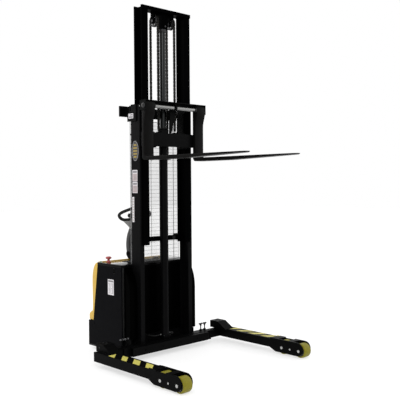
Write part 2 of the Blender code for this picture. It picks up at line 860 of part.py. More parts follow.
def inner_top_beam():
    """The head of the lifting mast: a front plate, a block on the piston rod and the sheaves' pins."""
    name = "inner_top_beam"
    top = INNER_Z[1] - 0.0005
    block_z = HEAD_PLATE_Z + 0.002
    beam = box(name, (-INNER_OUT, INNER_OUT), (-0.0240, INNER_FRONT - GAP), (HEAD_PLATE_Z, top))
    fuse(
        beam,
        box(name, (0.0005 - INNER_IN, INNER_IN - 0.0005), (-0.0200, 0.0785), (block_z, top - 0.001)),
        box(name, (-0.036, 0.036), (0.004, 0.076), (ROD_Z[1] + GAP, block_z + 0.004)),
    )
    for _, side in sides():
        for offset in (-0.019, 0.019):
            middle = side * (SHEAVE_X + offset)
            lug = [
                *arc((CYL_Y, SHEAVE_Z), 0.022, 180, 360, 8),
                (CYL_Y + 0.022, block_z + 0.004),
                (CYL_Y - 0.022, block_z + 0.004),
            ]
            fuse(beam, outline(name, lug, "X", middle - 0.003, middle + 0.003))
        ends = span(side, SHEAVE_X - 0.021, SHEAVE_X + 0.021)
        fuse(beam, rod(name, (ends[0], CYL_Y, SHEAVE_Z), (ends[1], CYL_Y, SHEAVE_Z), 0.010, 20))
    return finish(beam, "black_paint")


def inner_lower_bar():
    half = INNER_IN - GAP
    bar = box("inner_lower_bar", (-half, half), (0.0810, 0.0915), LOWER_BAR_Z, 0.002)
    return finish(bar, "black_paint")


def piston_rod():
    """The chromed rod with its piston at the bottom."""
    profile = [
        (0, ROD_Z[1]),
        (ROD_R - 0.001, ROD_Z[1]),
        (ROD_R, ROD_Z[1] - 0.001),
        (ROD_R, ROD_Z[0] + 0.050),
        (BARREL_BORE - 0.0005, ROD_Z[0] + 0.049),
        (BARREL_BORE - 0.0005, ROD_Z[0]),
        (0, ROD_Z[0]),
    ]
    return finish(turned("piston_rod", profile, "Z", (0, CYL_Y, 0), 32), "chrome")


def sheave(label, side):
    """A grooved chain roller on the mast head's pin."""
    centre = (side * SHEAVE_X, CYL_Y, SHEAVE_Z)
    groove = SHEAVE_R - CHAIN_THICK / 2 - GAP
    lip = CHAIN_WIDTH / 2 + 0.001
    half = 0.0135
    profile = [
        (groove + 0.007, half),
        (groove + 0.007, lip + 0.001),
        (groove, lip),
        (groove, -lip),
        (groove + 0.007, -lip - 0.001),
        (groove + 0.007, -half),
        (0.010 + GAP, -half),
        (0.010 + GAP, half),
    ]
    return finish(turned(f"{label}_sheave", profile, "X", centre, 24, ring=True), "dark_steel", centre)


def chain(label, side):
    """A lift chain as one band: up from the carriage, over the sheave and down to the barrel's bar."""
    middle = side * SHEAVE_X
    outer = SHEAVE_R + CHAIN_THICK / 2
    inner = SHEAVE_R - CHAIN_THICK / 2
    points = [
        (CYL_Y - inner, CHAIN_END),
        *arc((CYL_Y, SHEAVE_Z), inner, 180, 0, 16),
        (CYL_Y + inner, ANCHOR_TOP + GAP),
        (CYL_Y + outer, ANCHOR_TOP + GAP),
        *arc((CYL_Y, SHEAVE_Z), outer, 0, 180, 16),
        (CYL_Y - outer, CHAIN_END),
    ]
    band = outline(f"{label}_chain", points, "X", middle - CHAIN_WIDTH / 2, middle + CHAIN_WIDTH / 2)
    return finish(band, "dark_steel", (middle, CYL_Y, SHEAVE_Z))


# ---- carriage and forks -------------------------------------------------------------------------
def carriage_frame():
    """Top angle and lower plate on two roller plates, with the fork shaft's lugs and chain anchors."""
    name = "carriage_frame"
    half = SHAFT_HALF + 0.0005
    back = CARRIAGE_BACK
    lap = back - 0.005
    shelf = SHAFT_Y - 0.027
    top = CARRIAGE_Z[1]
    frame = box(name, (-0.335, 0.335), (CARRIAGE_FRONT, back), (1.800, 1.915))
    lug = [(shelf, 2.095), (back, 2.095), (back, top - 0.0005), (shelf, top - 0.0005)]
    plate = [
        (lap, CARRIAGE_Z[0]),
        (0.048, CARRIAGE_Z[0]),
        (0.048, 2.150),
        (0.035, 2.165),
        (lap, 2.165),
        (lap, 2.135),
        (-0.022, 2.100),
        (-0.022, 1.935),
        (lap, 1.912),
    ]
    brace_y = (-0.040, -0.024)
    brace = [(0.012, 1.900), (0.026, 1.900), (0.088, 2.160), (0.012, 2.160)]
    fuse(
        frame,
        box(name, (-half, half), (CARRIAGE_FRONT, back), (2.155, top - 0.0005)),
        box(name, (-half, half), (shelf - 0.0005, back + 0.0005), (2.1720, top)),
        box(name, (0.010, 0.095), (lap, brace_y[1] - 0.0005), (2.150, 2.170)),
        box(name, (0.010, 0.034), (lap, brace_y[1] - 0.0005), (1.895, 1.912)),
        outline(name, brace, "Y", *brace_y),
        rod(name, (-0.007, SHAFT_Y, SHAFT_Z), (0.007, SHAFT_Y, SHAFT_Z), 0.030, 24),
        box(name, (-0.0065, 0.0065), (SHAFT_Y - 0.012, SHAFT_Y + 0.038), (2.145, top - 0.004)),
    )
    for _, side in sides():
        fuse(
            frame,
            outline(name, plate, "X", *span(side, 0.172, 0.184)),
            outline(name, lug, "X", *span(side, 0.3395, half - 0.0003)),
            box(name, span(side, 0.073, 0.113), (lap, 0.004), (1.902, CHAIN_END - GAP)),
            box(name, span(side, 0.100, 0.175), (lap, brace_y[1]), (1.890, 1.905)),
        )
        for z in ROLLER_Z:
            ends = span(side, 0.180, 0.2235)
            fuse(frame, rod(name, (ends[0], ROLLER_Y, z), (ends[1], ROLLER_Y, z), ROLLER_PIN_R, 20))
    fuse(frame, box(name, (-0.1125, -0.010), brace_y, (1.9025, 1.946)))
    cut(frame, rod(name, (-0.5, SHAFT_Y, SHAFT_Z), (0.5, SHAFT_Y, SHAFT_Z), SHAFT_R + GAP, 24))
    return finish(frame, "black_paint")


def fork_shaft():
    shaft = rod("fork_shaft", (-SHAFT_HALF, SHAFT_Y, SHAFT_Z), (SHAFT_HALF, SHAFT_Y, SHAFT_Z), SHAFT_R, 24)
    return finish(shaft, "chrome")


def carriage_roller(label, side, level, z):
    half = 0.0170
    centre = (side * 0.2070, ROLLER_Y, z)
    profile = [(ROLLER_R, half), (ROLLER_R, -half), (ROLLER_PIN_R + GAP, -half), (ROLLER_PIN_R + GAP, half)]
    roller = turned(f"{label}_{level}_roller", profile, "X", centre, 24, ring=True)
    return finish(roller, "dark_steel", centre)


def fork(label, side):
    """An L-shaped fork that hangs on the shaft, tapered from below and drawn in at the tip."""
    name = f"{label}_fork"
    top = FORK_Z + FORK_THICK
    front = SHANK_BACK - SHANK_THICK
    tip = SHANK_BACK - FORK_LENGTH
    side_view = [
        (SHANK_BACK, 2.1715),
        *arc((SHANK_BACK - 0.030, FORK_Z + 0.030), 0.030, 0, -90, 5),
        (-0.500, FORK_Z),
        (tip + 0.018, top - 0.010),
        (tip + 0.003, top - 0.007),
        (tip, top - 0.003),
        (tip + 0.006, top),
        *arc((front - 0.018, top + 0.018), 0.018, -90, 0, 4),
        (front, 2.008),
        (front - 0.008, 2.050),
        (front - 0.025, 2.085),
        (front - 0.025, 2.155),
        (front - 0.015, 2.1715),
    ]
    near = FORK_OUTER - FORK_WIDTH
    blade = outline(name, side_view, "X", *span(side, near, FORK_OUTER))
    middle = near + FORK_WIDTH / 2
    tip_half = 0.018
    draw = [
        (-0.2, 0.1),
        (0.2, 0.1),
        (0.2, tip + 0.30),
        (FORK_WIDTH / 2 + 0.001, tip + 0.26),
        (tip_half + 0.018, tip + 0.035),
        (tip_half + 0.010, tip + 0.010),
        (tip_half, tip - 0.001),
        (-tip_half, tip - 0.001),
        (-tip_half - 0.010, tip + 0.010),
        (-tip_half - 0.018, tip + 0.035),
        (-FORK_WIDTH / 2 - 0.001, tip + 0.26),
        (-0.2, tip + 0.30),
    ]
    plan = outline(name, [(side * middle + x, y) for x, y in draw], "Z", 1.5, 2.3)
    boolean(blade, plan, "INTERSECT")
    cut(blade, rod(name, (side * 0.1, SHAFT_Y, SHAFT_Z), (side * 0.5, SHAFT_Y, SHAFT_Z), SHAFT_R + GAP, 24))
    return finish(blade, "black_paint", (side * middle, SHAFT_Y, SHAFT_Z))


# ---- straddle legs ------------------------------------------------------------------------------
def leg(label, side):
    """A straddle leg: channel, wheel plates with their axles, socket bracket and telescoping arm."""
    name = f"{label}_leg"
    inner = LEG_OUTER - LEG_WIDTH
    wall = LEG_WALL
    hollow_x = span(side, inner + wall, LEG_OUTER - wall)
    beam = box(name, span(side, inner, LEG_OUTER), (-0.660, LEG_REAR), (LEG_BOTTOM, LEG_TOP))
    nose_z = 0.072
    nose_r = 0.057
    cheek = [
        (-0.585, 0.0500),
        (-0.637, LEG_BOTTOM),
        (-0.700, 0.0165),
        *arc((AXLE_Y[0] + 0.016, nose_z), nose_r, -90, -270, 12),
        (-0.665, nose_z + nose_r),
        (-0.630, LEG_TOP - 0.001),
        (-0.585, LEG_TOP - 0.002),
    ]
    for near, far in ((inner - 0.0005, inner + PLATE_THICK), (LEG_OUTER - PLATE_THICK, LEG_OUTER + 0.0005)):
        fuse(beam, outline(name, cheek, "X", *span(side, near, far)))
    roof_z = (LEG_TOP + 0.0010, nose_z + nose_r - 0.0005)
    fuse(beam, box(name, span(side, inner + 0.002, LEG_OUTER - 0.002), (-0.890, -0.640), roof_z))
    middle = inner + LEG_WIDTH / 2
    window_x = span(side, middle - WHEEL_WIDTH / 2 - 0.002, LEG_OUTER + 0.002)
    cut(beam, box(name, window_x, (AXLE_Y[1] - 0.063, AXLE_Y[1] + 0.045), (LEG_TOP - 0.0005, 0.140)))
    mouth_x = span(side, middle - WHEEL_WIDTH / 2 - 0.002, middle + WHEEL_WIDTH / 2 + 0.002)
    cut(beam, box(name, mouth_x, (AXLE_Y[1] - 0.0625, AXLE_Y[1] + 0.0445), (0.110, 0.140)))
    socket = [(0.078, 0.1195), (0.078, 0.183), (-0.023, 0.183), (-0.125, 0.1225), (-0.125, 0.1195)]
    fuse(
        beam,
        outline(name, socket, "X", *span(side, 0.600, 0.705)),
        box(name, span(side, 0.300, inner + 0.003), (-0.0235, 0.0535), (0.0445, 0.1115)),
    )
    for y in AXLE_Y:
        bolt = span(side, inner - 0.004, LEG_OUTER + 0.004)
        fuse(beam, rod(name, (bolt[0], y, WHEEL_R), (bolt[1], y, WHEEL_R), AXLE_R, 24))
    spacer = span(side, inner - 0.0025, LEG_OUTER + 0.0025)
    fuse(beam, rod(name, (spacer[0], SPACER_Y, WHEEL_R), (spacer[1], SPACER_Y, WHEEL_R), 0.006, 16))
    cut(
        beam,
        box(name, hollow_x, (-0.690, LEG_REAR - wall), (-0.020, LEG_TOP - wall)),
        box(name, span(side, 0.280, inner - 0.006), (-0.0175, 0.0475), (0.0505, 0.1055)),
    )
    return finish(beam, "black_paint", (side * middle, 0, LEG_BOTTOM))


def load_wheel(label, side, place, y):
    middle = LEG_OUTER - LEG_WIDTH / 2
    centre = (side * middle, y, WHEEL_R)
    profile = wheel_profile(WHEEL_R, WHEEL_WIDTH, AXLE_R + GAP)
    wheel = turned(f"{label}_{place}_load_wheel", profile, "X", centre, 32, ring=True)
    return finish(wheel, "polyurethane", centre)


def leg_knob(label, side, place, x):
    """A clamp screw's T handle, standing on its nut."""
    name = f"{label}_{place}_leg_knob"
    low = SLEEVE_Z[1] + GAP
    foot = (side * x, KNOB_Y, low)
    knob = rod(name, foot, (foot[0], KNOB_Y, low + 0.014), 0.0130, 6)
    fuse(
        knob,
        rod(name, (foot[0], KNOB_Y, low + 0.010), (foot[0], KNOB_Y, 0.180), 0.0055, 14),
        rod(name, (foot[0] - 0.017, KNOB_Y, 0.182), (foot[0] + 0.017, KNOB_Y, 0.182), 0.0070, 14),
    )
    return finish(knob, "steel", foot)


# ---- assembly -----------------------------------------------------------------------------------
def build():
    base_frame()
    front_beam()
    outer_top_crossmember()
    cylinder_barrel()
    mesh_guard()
    side_housing()
    front_cover()
    top_cover()
    rear_cover()
    battery()
    pump_unit()
    controller_box()
    estop_base()
    estop_button()
    key_switch()
    battery_gauge()
    drive_unit()
    drive_wheel()
    steering_column()
    tiller_arm()
    tiller_head()
    grip_loop()
    belly_button()
    head_button("lift_button", -BUTTON_X, "green_plastic")
    head_button("lower_button", BUTTON_X, "black_plastic")
    inner_top_beam()
    inner_lower_bar()
    piston_rod()
    carriage_frame()
    fork_shaft()
    for label, side in sides():
        outer_rail(label, side)
        inner_rail(label, side)
        sheave(label, side)
        chain(label, side)
        fork(label, side)
        leg(label, side)
        caster_fork(label, side)
        caster_wheel(label, side)
        throttle(label, side)
        for level, z in zip(("lower", "upper"), ROLLER_Z):
            carriage_roller(label, side, level, z)
        for place, y in zip(("front", "rear"), AXLE_Y):
            load_wheel(label, side, place, y)
        for place, x in zip(("inner", "outer"), KNOB_X):
            leg_knob(label, side, place, x)


clear_scene()
PARTS = new_collection("walkie_stacker")
CUTTERS = new_collection("cutters")
build()
for item in (*PARTS.objects, *CUTTERS.objects):
    item.location.y += SHIFT_Y
bpy.context.view_layer.update()
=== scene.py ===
"""Looks for the walkie straddle stacker: detailed pieces, procedural materials, studio and camera."""

from math import acos, copysign, cos, pi, radians, sin, sqrt

import bmesh
import bpy
from mathutils import Matrix, Vector


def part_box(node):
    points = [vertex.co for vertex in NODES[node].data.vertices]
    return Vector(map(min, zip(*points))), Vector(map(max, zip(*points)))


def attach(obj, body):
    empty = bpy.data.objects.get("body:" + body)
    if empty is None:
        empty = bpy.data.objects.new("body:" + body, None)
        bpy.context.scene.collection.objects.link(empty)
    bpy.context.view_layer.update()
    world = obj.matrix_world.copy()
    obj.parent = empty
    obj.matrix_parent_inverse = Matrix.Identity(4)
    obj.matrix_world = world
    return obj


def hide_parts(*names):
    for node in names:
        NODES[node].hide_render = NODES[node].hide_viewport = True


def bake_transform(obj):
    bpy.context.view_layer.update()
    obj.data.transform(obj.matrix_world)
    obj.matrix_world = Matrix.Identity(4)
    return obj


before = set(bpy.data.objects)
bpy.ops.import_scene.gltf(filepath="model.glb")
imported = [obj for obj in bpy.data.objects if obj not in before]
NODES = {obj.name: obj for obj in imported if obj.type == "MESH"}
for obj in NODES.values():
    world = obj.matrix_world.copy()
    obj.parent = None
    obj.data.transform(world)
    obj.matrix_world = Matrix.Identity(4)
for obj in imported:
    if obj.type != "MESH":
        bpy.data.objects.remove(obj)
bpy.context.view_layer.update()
SIDES = (("left", -1), ("right", 1))

# y is measured from the front face of the outer mast rails, x from the mast's middle, z from the floor
Y0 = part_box("left_outer_rail")[0][1]

# faces and lines that several groups of details share
RAIL_FACE = 0.297
PANEL_FACE = 0.4
AXLE_Z = 0.06
DRIVE_Y = 0.46


def P(x, y, z):
    return Vector((x, y + Y0, z))


def middle(node):
    low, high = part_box(node)
    return (Vector(low) + Vector(high)) / 2


def size(node):
    low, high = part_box(node)
    return Vector(high) - Vector(low)


# ---- material toolkit ---------------------------------------------------------------------------
class Look:
    """A node material being built around one Principled shader."""

    def __init__(self, name):
        self.material = bpy.data.materials.new(name)
        self.material.use_nodes = True
        self.tree = self.material.node_tree
        self.shader = self.tree.nodes["Principled BSDF"]
        self.coords = self.add("ShaderNodeTexCoord").outputs["Object"]

    def add(self, kind, inputs=None, **settings):
        node = self.tree.nodes.new(kind)
        for key, value in settings.items():
            setattr(node, key, value)
        for key, value in (inputs or {}).items():
            self.feed(node, key, value)
        return node

    def feed(self, node, key, value):
        if isinstance(value, bpy.types.NodeSocket):
            self.tree.links.new(value, node.inputs[key])
        else:
            node.inputs[key].default_value = value

    def set(self, key, value):
        self.feed(self.shader, key, value)

    def noise(self, scale, detail=3.0, stretch=(1, 1, 1), roughness=0.55):
        place = self.add("ShaderNodeMapping", {"Vector": self.coords, "Scale": stretch})
        inputs = {"Vector": place.outputs[0], "Scale": scale, "Detail": detail, "Roughness": roughness}
        return self.add("ShaderNodeTexNoise", inputs).outputs[0]

    def span(self, value, low, high, start=0.0, end=1.0):
        inputs = {"Value": value, "From Min": low, "From Max": high, "To Min": start, "To Max": end}
        return self.add("ShaderNodeMapRange", inputs).outputs[0]

    def maths(self, operation, a, b=0.0):
        return self.add("ShaderNodeMath", {0: a, 1: b}, operation=operation).outputs[0]

    def mix(self, factor, first, second):
        node = self.add("ShaderNodeMix", data_type="RGBA")
        self.feed(node, 0, factor)
        for index, value in ((6, first), (7, second)):
            self.feed(node, index, value if isinstance(value, bpy.types.NodeSocket) else (*value, 1))
        return node.outputs[2]

    def vary(self, key, scale, detail, low, high, stretch=(1, 1, 1)):
        """Move an input of the shader between two values by a noise."""
        self.set(key, self.span(self.noise(scale, detail, stretch), 0.3, 0.7, low, high))

    def patches(self, scale, detail, first, second):
        return self.mix(self.span(self.noise(scale, detail), 0.3, 0.7), first, second)

    def rounded(self, radius):
        return self.add("ShaderNodeBevel", {"Radius": radius}, samples=4).outputs[0]

    def edges(self, radius):
        """A mask that is high along sharp edges, broken up by noise."""
        soft = self.rounded(radius)
        flat = self.add("ShaderNodeNewGeometry").outputs["Normal"]
        dot = self.add("ShaderNodeVectorMath", {0: soft, 1: flat}, operation="DOT_PRODUCT").outputs["Value"]
        edge = self.span(self.maths("SUBTRACT", 1.0, dot), 0.02, 0.25)
        return self.maths("MULTIPLY", edge, self.span(self.noise(60, 4), 0.42, 0.62))

    def bump(self, height, distance, strength=1.0, normal=None):
        inputs = {"Height": height, "Distance": distance, "Strength": strength}
        if normal is not None:
            inputs["Normal"] = normal
        return self.add("ShaderNodeBump", inputs).outputs[0]


def coating(name, colour, second, rough, spread=0.08, specular=0.35, coat=0.0, peel=0.00012, peel_scale=420,
        rounding=0.0016, wear=None, mottle=9.0, stretch=(1, 1, 1), top_gloss=0.0):
    """Paint, powder coat or moulded plastic: mottled colour, uneven gloss, orange peel and soft edges."""
    look = Look(name)
    cloud = look.noise(mottle, 5, stretch)
    tint = look.mix(look.span(cloud, 0.35, 0.68), colour, second)
    gloss = look.span(look.noise(mottle * 3.1, 4, stretch), 0.3, 0.7, rough - spread / 2,
        rough + spread / 2)
    if wear:
        mask = look.maths("MULTIPLY", look.edges(0.002), wear[1])
        tint = look.mix(mask, tint, wear[0])
        gloss = look.maths("ADD", gloss, look.maths("MULTIPLY", mask, 0.12))
    look.set("Base Color", tint)
    look.set("Roughness", gloss)
    look.set("Specular IOR Level", specular)
    look.set("Coat Weight", coat)
    if top_gloss:
        normal = look.add("ShaderNodeNewGeometry").outputs["Normal"]
        upward = look.add("ShaderNodeSeparateXYZ", {0: normal}).outputs["Z"]
        place = look.add("ShaderNodeNewGeometry").outputs["Position"]
        rearward = look.span(look.add("ShaderNodeSeparateXYZ", {0: place}).outputs["Y"], Y0 + 0.26,
            Y0 + 0.32)
        facing = look.span(upward, 0.85, 1.0)
        look.set("Coat Weight", look.maths("MULTIPLY", look.maths("MULTIPLY", facing, rearward), top_gloss))
    look.set("Coat Roughness", rough * 0.4)
    soft = look.rounded(rounding) if rounding else None
    look.set("Normal", look.bump(look.noise(peel_scale, 2), peel, 0.6, soft))
    return look.material


def metal(name, colour, second, rough, grain=(1, 1, 1), grain_scale=500, grain_depth=0.00006, dirt=0.0,
        rounding=0.0008):
    """Bare, plated or ground metal with directional grain and darker film in patches."""
    look = Look(name)
    line = look.noise(grain_scale, 3, grain)
    film = look.span(look.noise(14, 5), 0.45, 0.75)
    tint = look.mix(look.span(line, 0.3, 0.7), colour, second)
    if dirt:
        tint = look.mix(look.maths("MULTIPLY", film, dirt), tint, (0.02, 0.018, 0.015))
    look.set("Base Color", tint)
    look.set("Metallic", 1.0)
    look.vary("Roughness", 40, 4, rough * 0.8, rough * 1.3, grain)
    soft = look.rounded(rounding) if rounding else None
    look.set("Normal", look.bump(line, grain_depth, 0.7, soft))
    return look.material


def polyurethane(name, colour, second, scuff):
    """Cast tread: slightly waxy, with fine scuffs running round it."""
    look = Look(name)
    cloud = look.noise(24, 4)
    scuffs = look.span(look.noise(210, 5, (0.25, 1, 1)), 0.56, 0.74)
    tint = look.mix(look.span(cloud, 0.3, 0.7), colour, second)
    tint = look.mix(look.maths("MULTIPLY", scuffs, 0.45), tint, scuff)
    look.set("Base Color", tint)
    look.vary("Roughness", 90, 4, 0.34, 0.52)
    look.set("Specular IOR Level", 0.16)
    look.set("Subsurface Weight", 0.12)
    look.set("Subsurface Radius", (0.006, 0.005, 0.001))
    look.set("Normal", look.bump(look.noise(380, 4, (0.3, 1, 1)), 0.00025, 0.7))
    return look.material


def moulded(name, colour, second, rough, grain_scale=900, depth=0.00016, specular=0.4):
    """Textured moulding: fine pebbled skin over a slightly uneven colour."""
    look = Look(name)
    pebble = look.add("ShaderNodeTexVoronoi",
        {"Vector": look.coords, "Scale": grain_scale}).outputs["Distance"]
    look.set("Base Color", look.patches(18, 4, colour, second))
    look.vary("Roughness", 65, 3, rough - 0.06, rough + 0.06)
    look.set("Specular IOR Level", specular)
    look.set("Normal", look.bump(pebble, depth, 0.6, look.rounded(0.001)))
    return look.material


def hazard_paint(name):
    """Yellow marking film with chips that show the black leg through it."""
    look = Look(name)
    chips = look.span(look.noise(150, 6, roughness=0.7), 0.66, 0.7)
    rub = look.span(look.noise(26, 4), 0.48, 0.8, 0.0, 0.35)
    tint = look.patches(12, 3, (0.6, 0.54, 0.11), (0.52, 0.47, 0.09))
    tint = look.mix(rub, tint, (0.28, 0.26, 0.1))
    look.set("Base Color", look.mix(chips, tint, (0.012, 0.012, 0.012)))
    look.vary("Roughness", 80, 3, 0.4, 0.58)
    look.set("Normal", look.bump(look.maths("SUBTRACT", 1.0, chips), 0.0002, 0.8))
    return look.material


def film(name, colour, second, rough=0.35):
    """Printed adhesive film: fine print grain, a slightly uneven tone and a soft sheen."""
    look = Look(name)
    tint = look.mix(look.span(look.noise(30, 4), 0.35, 0.7), colour, second)
    look.set("Base Color", look.mix(look.span(look.noise(1400, 1), 0.55, 0.8, 0.0, 0.1), tint,
        (0.2, 0.2, 0.2)))
    look.vary("Roughness", 55, 3, rough - 0.05, rough + 0.05)
    look.set("Coat Weight", 0.25)
    look.set("Normal", look.bump(look.noise(120, 2), 0.0001, 0.4))
    return look.material


def floor_material():
    look = Look("studio_floor")
    look.set("Base Color", look.patches(1.3, 3, (0.42, 0.42, 0.42), (0.4, 0.4, 0.4)))
    look.vary("Roughness", 9, 3, 0.55, 0.7)
    look.set("Specular IOR Level", 0.1)
    look.set("Emission Color", (1, 1, 1, 1))
    look.set("Emission Strength", 0.62)
    return look.material


BLACK = coating("black_powder_coat", (0.0011, 0.0011, 0.0012), (0.0019, 0.0019, 0.002), 0.42,
    specular=0.028, wear=((0.008, 0.008, 0.009), 0.3), peel=0.00015)
RAIL_BLACK = coating("mast_rail_paint", (0.0014, 0.0014, 0.0016), (0.0023, 0.0023, 0.0025), 0.4,
    specular=0.034, wear=((0.01, 0.01, 0.011), 0.3), peel=0.0001, mottle=5.0, stretch=(3, 3, 0.25))
# Inner mast: a darker copy of the mast paint with almost no specular, painted shade for the dark upper mast
SHADED_MAST_BLACK = coating("mast_paint_painted_shade", (0.0002, 0.0002, 0.0003), (0.0005, 0.0005, 0.0006), 0.38,
    specular=0.004, wear=((0.004, 0.004, 0.004), 0.2), peel=0.0001, mottle=6.0, stretch=(3, 3, 0.25))
PANEL_BLACK = coating("panel_powder_coat", (0.0009, 0.0009, 0.0015), (0.0014, 0.0015, 0.0022), 0.46,
    specular=0.022, peel=0.0002, peel_scale=600, wear=((0.006, 0.006, 0.007), 0.2))
FORK_BLACK = coating("fork_paint", (0.0021, 0.002, 0.0019), (0.0034, 0.0032, 0.0031), 0.4, specular=0.036,
    wear=((0.022, 0.02, 0.018), 0.4), peel=0.00015)
# Front cover: near black with almost no specular, painted shade for the shadow behind the mast
SHADED_COVER_BLACK = coating("cover_black_painted_shade", (0.0002, 0.0002, 0.0002), (0.0004, 0.0004, 0.0004), 0.22,
    specular=0.005, peel=0.00005, peel_scale=180)
LID_BLACK = coating("gloss_black_lid", (0.0012, 0.0012, 0.0013), (0.002, 0.002, 0.0021), 0.13, 0.04,
    specular=0.04, peel=0.00003, peel_scale=160, top_gloss=1.0)
BARREL_BLACK = coating("cylinder_gloss_paint", (0.0012, 0.0012, 0.0014), (0.002, 0.002, 0.0022), 0.26, 0.03,
    specular=0.035, peel=0.00006, peel_scale=260)
YELLOW = coating("yellow_moulded_cover", (0.6, 0.385, 0.055), (0.55, 0.345, 0.044), 0.36, 0.08,
    specular=0.3, coat=0.1, peel=0.0001, peel_scale=520, rounding=0.003)
STEEL = metal("zinc_plated_steel", (0.62, 0.62, 0.61), (0.48, 0.48, 0.47), 0.3, dirt=0.25)
BRIGHT = metal("bright_turned_steel", (0.45, 0.45, 0.44), (0.38, 0.38, 0.37), 0.24, grain=(1, 1, 6),
    grain_scale=700)
DARK_STEEL = metal("oiled_dark_steel", (0.048, 0.048, 0.05), (0.026, 0.026, 0.027), 0.34, dirt=0.5)
CHAIN_STEEL = metal("greased_chain_steel", (0.014, 0.013, 0.012), (0.005, 0.005, 0.005), 0.38, dirt=0.6,
    grain_scale=900)
CHAIN_PIN = metal("chain_pin_steel", (0.12, 0.12, 0.115), (0.07, 0.07, 0.068), 0.28, dirt=0.3)
# Piston rod: chrome darkened far below its own brightness, painted shade for the dark mast it reflects
SHADED_ROD_CHROME = metal("piston_rod_chrome_painted_shade", (0.03, 0.031, 0.031), (0.02, 0.021, 0.021), 0.17, grain=(1, 1, 9),
    grain_scale=420, grain_depth=0.00002, rounding=0)
SHAFT_CHROME = metal("fork_shaft_steel", (0.27, 0.27, 0.265), (0.2, 0.2, 0.195), 0.26, grain=(8, 1, 1),
    grain_scale=420, grain_depth=0.00003, rounding=0)
CAST = metal("cast_housing", (0.16, 0.16, 0.165), (0.1, 0.1, 0.105), 0.5, grain_scale=260,
    grain_depth=0.0003, dirt=0.4)
TREAD = polyurethane("olive_polyurethane_tread", (0.205, 0.182, 0.012), (0.17, 0.15, 0.009),
    (0.112, 0.1, 0.012))
RUBBER = moulded("hose_rubber", (0.008, 0.008, 0.008), (0.013, 0.013, 0.013), 0.62, 1200, 0.0002, 0.15)
GRIP = moulded("grip_rubber", (0.01, 0.01, 0.01), (0.016, 0.016, 0.016), 0.5, 800, 0.00025, 0.2)
GREY = moulded("grey_head_moulding", (0.34, 0.34, 0.335), (0.3, 0.3, 0.295), 0.45, 1300, 0.0001)
ARM_GREY = moulded("arm_moulding", (0.019, 0.019, 0.02), (0.024, 0.024, 0.025), 0.42, 1100, 0.0001)
BLACK_PLASTIC = moulded("black_moulding", (0.008, 0.008, 0.008), (0.013, 0.013, 0.013), 0.48, 1000, 0.00015,
    0.15)
RED = coating("red_button", (0.36, 0.055, 0.052), (0.3, 0.042, 0.042), 0.34, 0.06, specular=0.4, coat=0.2)
GREEN = coating("green_button", (0.02, 0.24, 0.07), (0.015, 0.19, 0.05), 0.3, 0.06, specular=0.5, coat=0.3)
WIRE = metal("galvanised_wire", (0.34, 0.34, 0.34), (0.26, 0.26, 0.26), 0.45, dirt=0.15, rounding=0)
HAZARD = hazard_paint("hazard_marking")
WHITE_FILM = film("white_label_film", (0.66, 0.64, 0.66), (0.6, 0.58, 0.6))
PINK_FILM = film("pale_pink_label_film", (0.44, 0.36, 0.36), (0.4, 0.33, 0.33))
GREY_FILM = film("grey_print_film", (0.19, 0.18, 0.19), (0.15, 0.14, 0.15))
TAN_FILM = film("tan_strip_film", (0.36, 0.31, 0.27), (0.32, 0.28, 0.24))
GOLD_FILM = film("gold_badge_film", (0.3, 0.205, 0.014), (0.24, 0.16, 0.011))
BLACK_FILM = film("black_badge_film", (0.006, 0.006, 0.006), (0.01, 0.01, 0.01))
GLASS_DIAL = film("dial_glass_print", (0.7, 0.7, 0.68), (0.66, 0.66, 0.64), 0.12)


# ---- mesh toolkit -------------------------------------------------------------------------------
LOOKS = bpy.data.collections.new("looks")
bpy.context.scene.collection.children.link(LOOKS)
UPWARD = Vector((0, 0, 1))

# the mesh being built; piece() turns it into an object and empties it
BENCH = bmesh.new()


def piece(name, materials, body="chassis", node=None, bevel=0.0, segments=2, angle=35):
    """Make what is on the bench an object that rides on a body and may stand for a CAD node."""
    bmesh.ops.recalc_face_normals(BENCH, faces=BENCH.faces[:])
    mesh = bpy.data.meshes.new(name)
    BENCH.to_mesh(mesh)
    BENCH.clear()
    for material in materials if isinstance(materials, list) else [materials]:
        mesh.materials.append(material)
    mesh.shade_smooth()
    mesh.set_sharp_from_angle(angle=radians(angle))
    ob = bpy.data.objects.new(name, mesh)
    LOOKS.objects.link(ob)
    if bevel:
        edge = ob.modifiers.new("edge", "BEVEL")
        edge.width = bevel
        edge.segments = segments
        edge.limit_method = "ANGLE"
        edge.angle_limit = radians(40)
        edge.harden_normals = True
    if body:
        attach(ob, body)
    if node:
        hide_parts(node)
    return ob


def use_slot(made, slot):
    for face in {f for v in made["verts"] for f in v.link_faces}:
        face.material_index = slot


def block(xs, ys, zs, slot=0, turn=0.0):
    """A box between limits given in mast coordinates in any order, turned about Z at its middle."""
    extent = [abs(high - low) for low, high in (xs, ys, zs)]
    centre = P(sum(xs) / 2, sum(ys) / 2, sum(zs) / 2)
    place = Matrix.Translation(centre) @ Matrix.Rotation(turn, 4, "Z") @ Matrix.Diagonal((*extent, 1))
    use_slot(bmesh.ops.create_cube(BENCH, size=1.0, matrix=place), slot)


def box_rim(xs, ys, zs, width):
    """Four bars round the inside of a rectangle."""
    for y in (ys[0], ys[1] - width):
        block(xs, (y, y + width), zs)
    for x in (xs[0], xs[1] - width):
        block((x, x + width), ys, zs)


def bar(start, end, radius, sides=24, slot=0, end_radius=None):
    """A solid round or hexagonal bar between two points in world places."""
    start, end = Vector(start), Vector(end)
    along = end - start
    turn = UPWARD.rotation_difference(along).to_matrix().to_4x4()
    radius2 = radius if end_radius is None else end_radius
    place = Matrix.Translation((start + end) / 2) @ turn
    use_slot(bmesh.ops.create_cone(BENCH, cap_ends=True, segments=sides, radius1=radius, radius2=radius2,
        depth=along.length, matrix=place), slot)


def circle(count):
    """The cosines and sines of count even steps round a circle."""
    return [(cos(2 * pi * k / count), sin(2 * pi * k / count)) for k in range(count)]


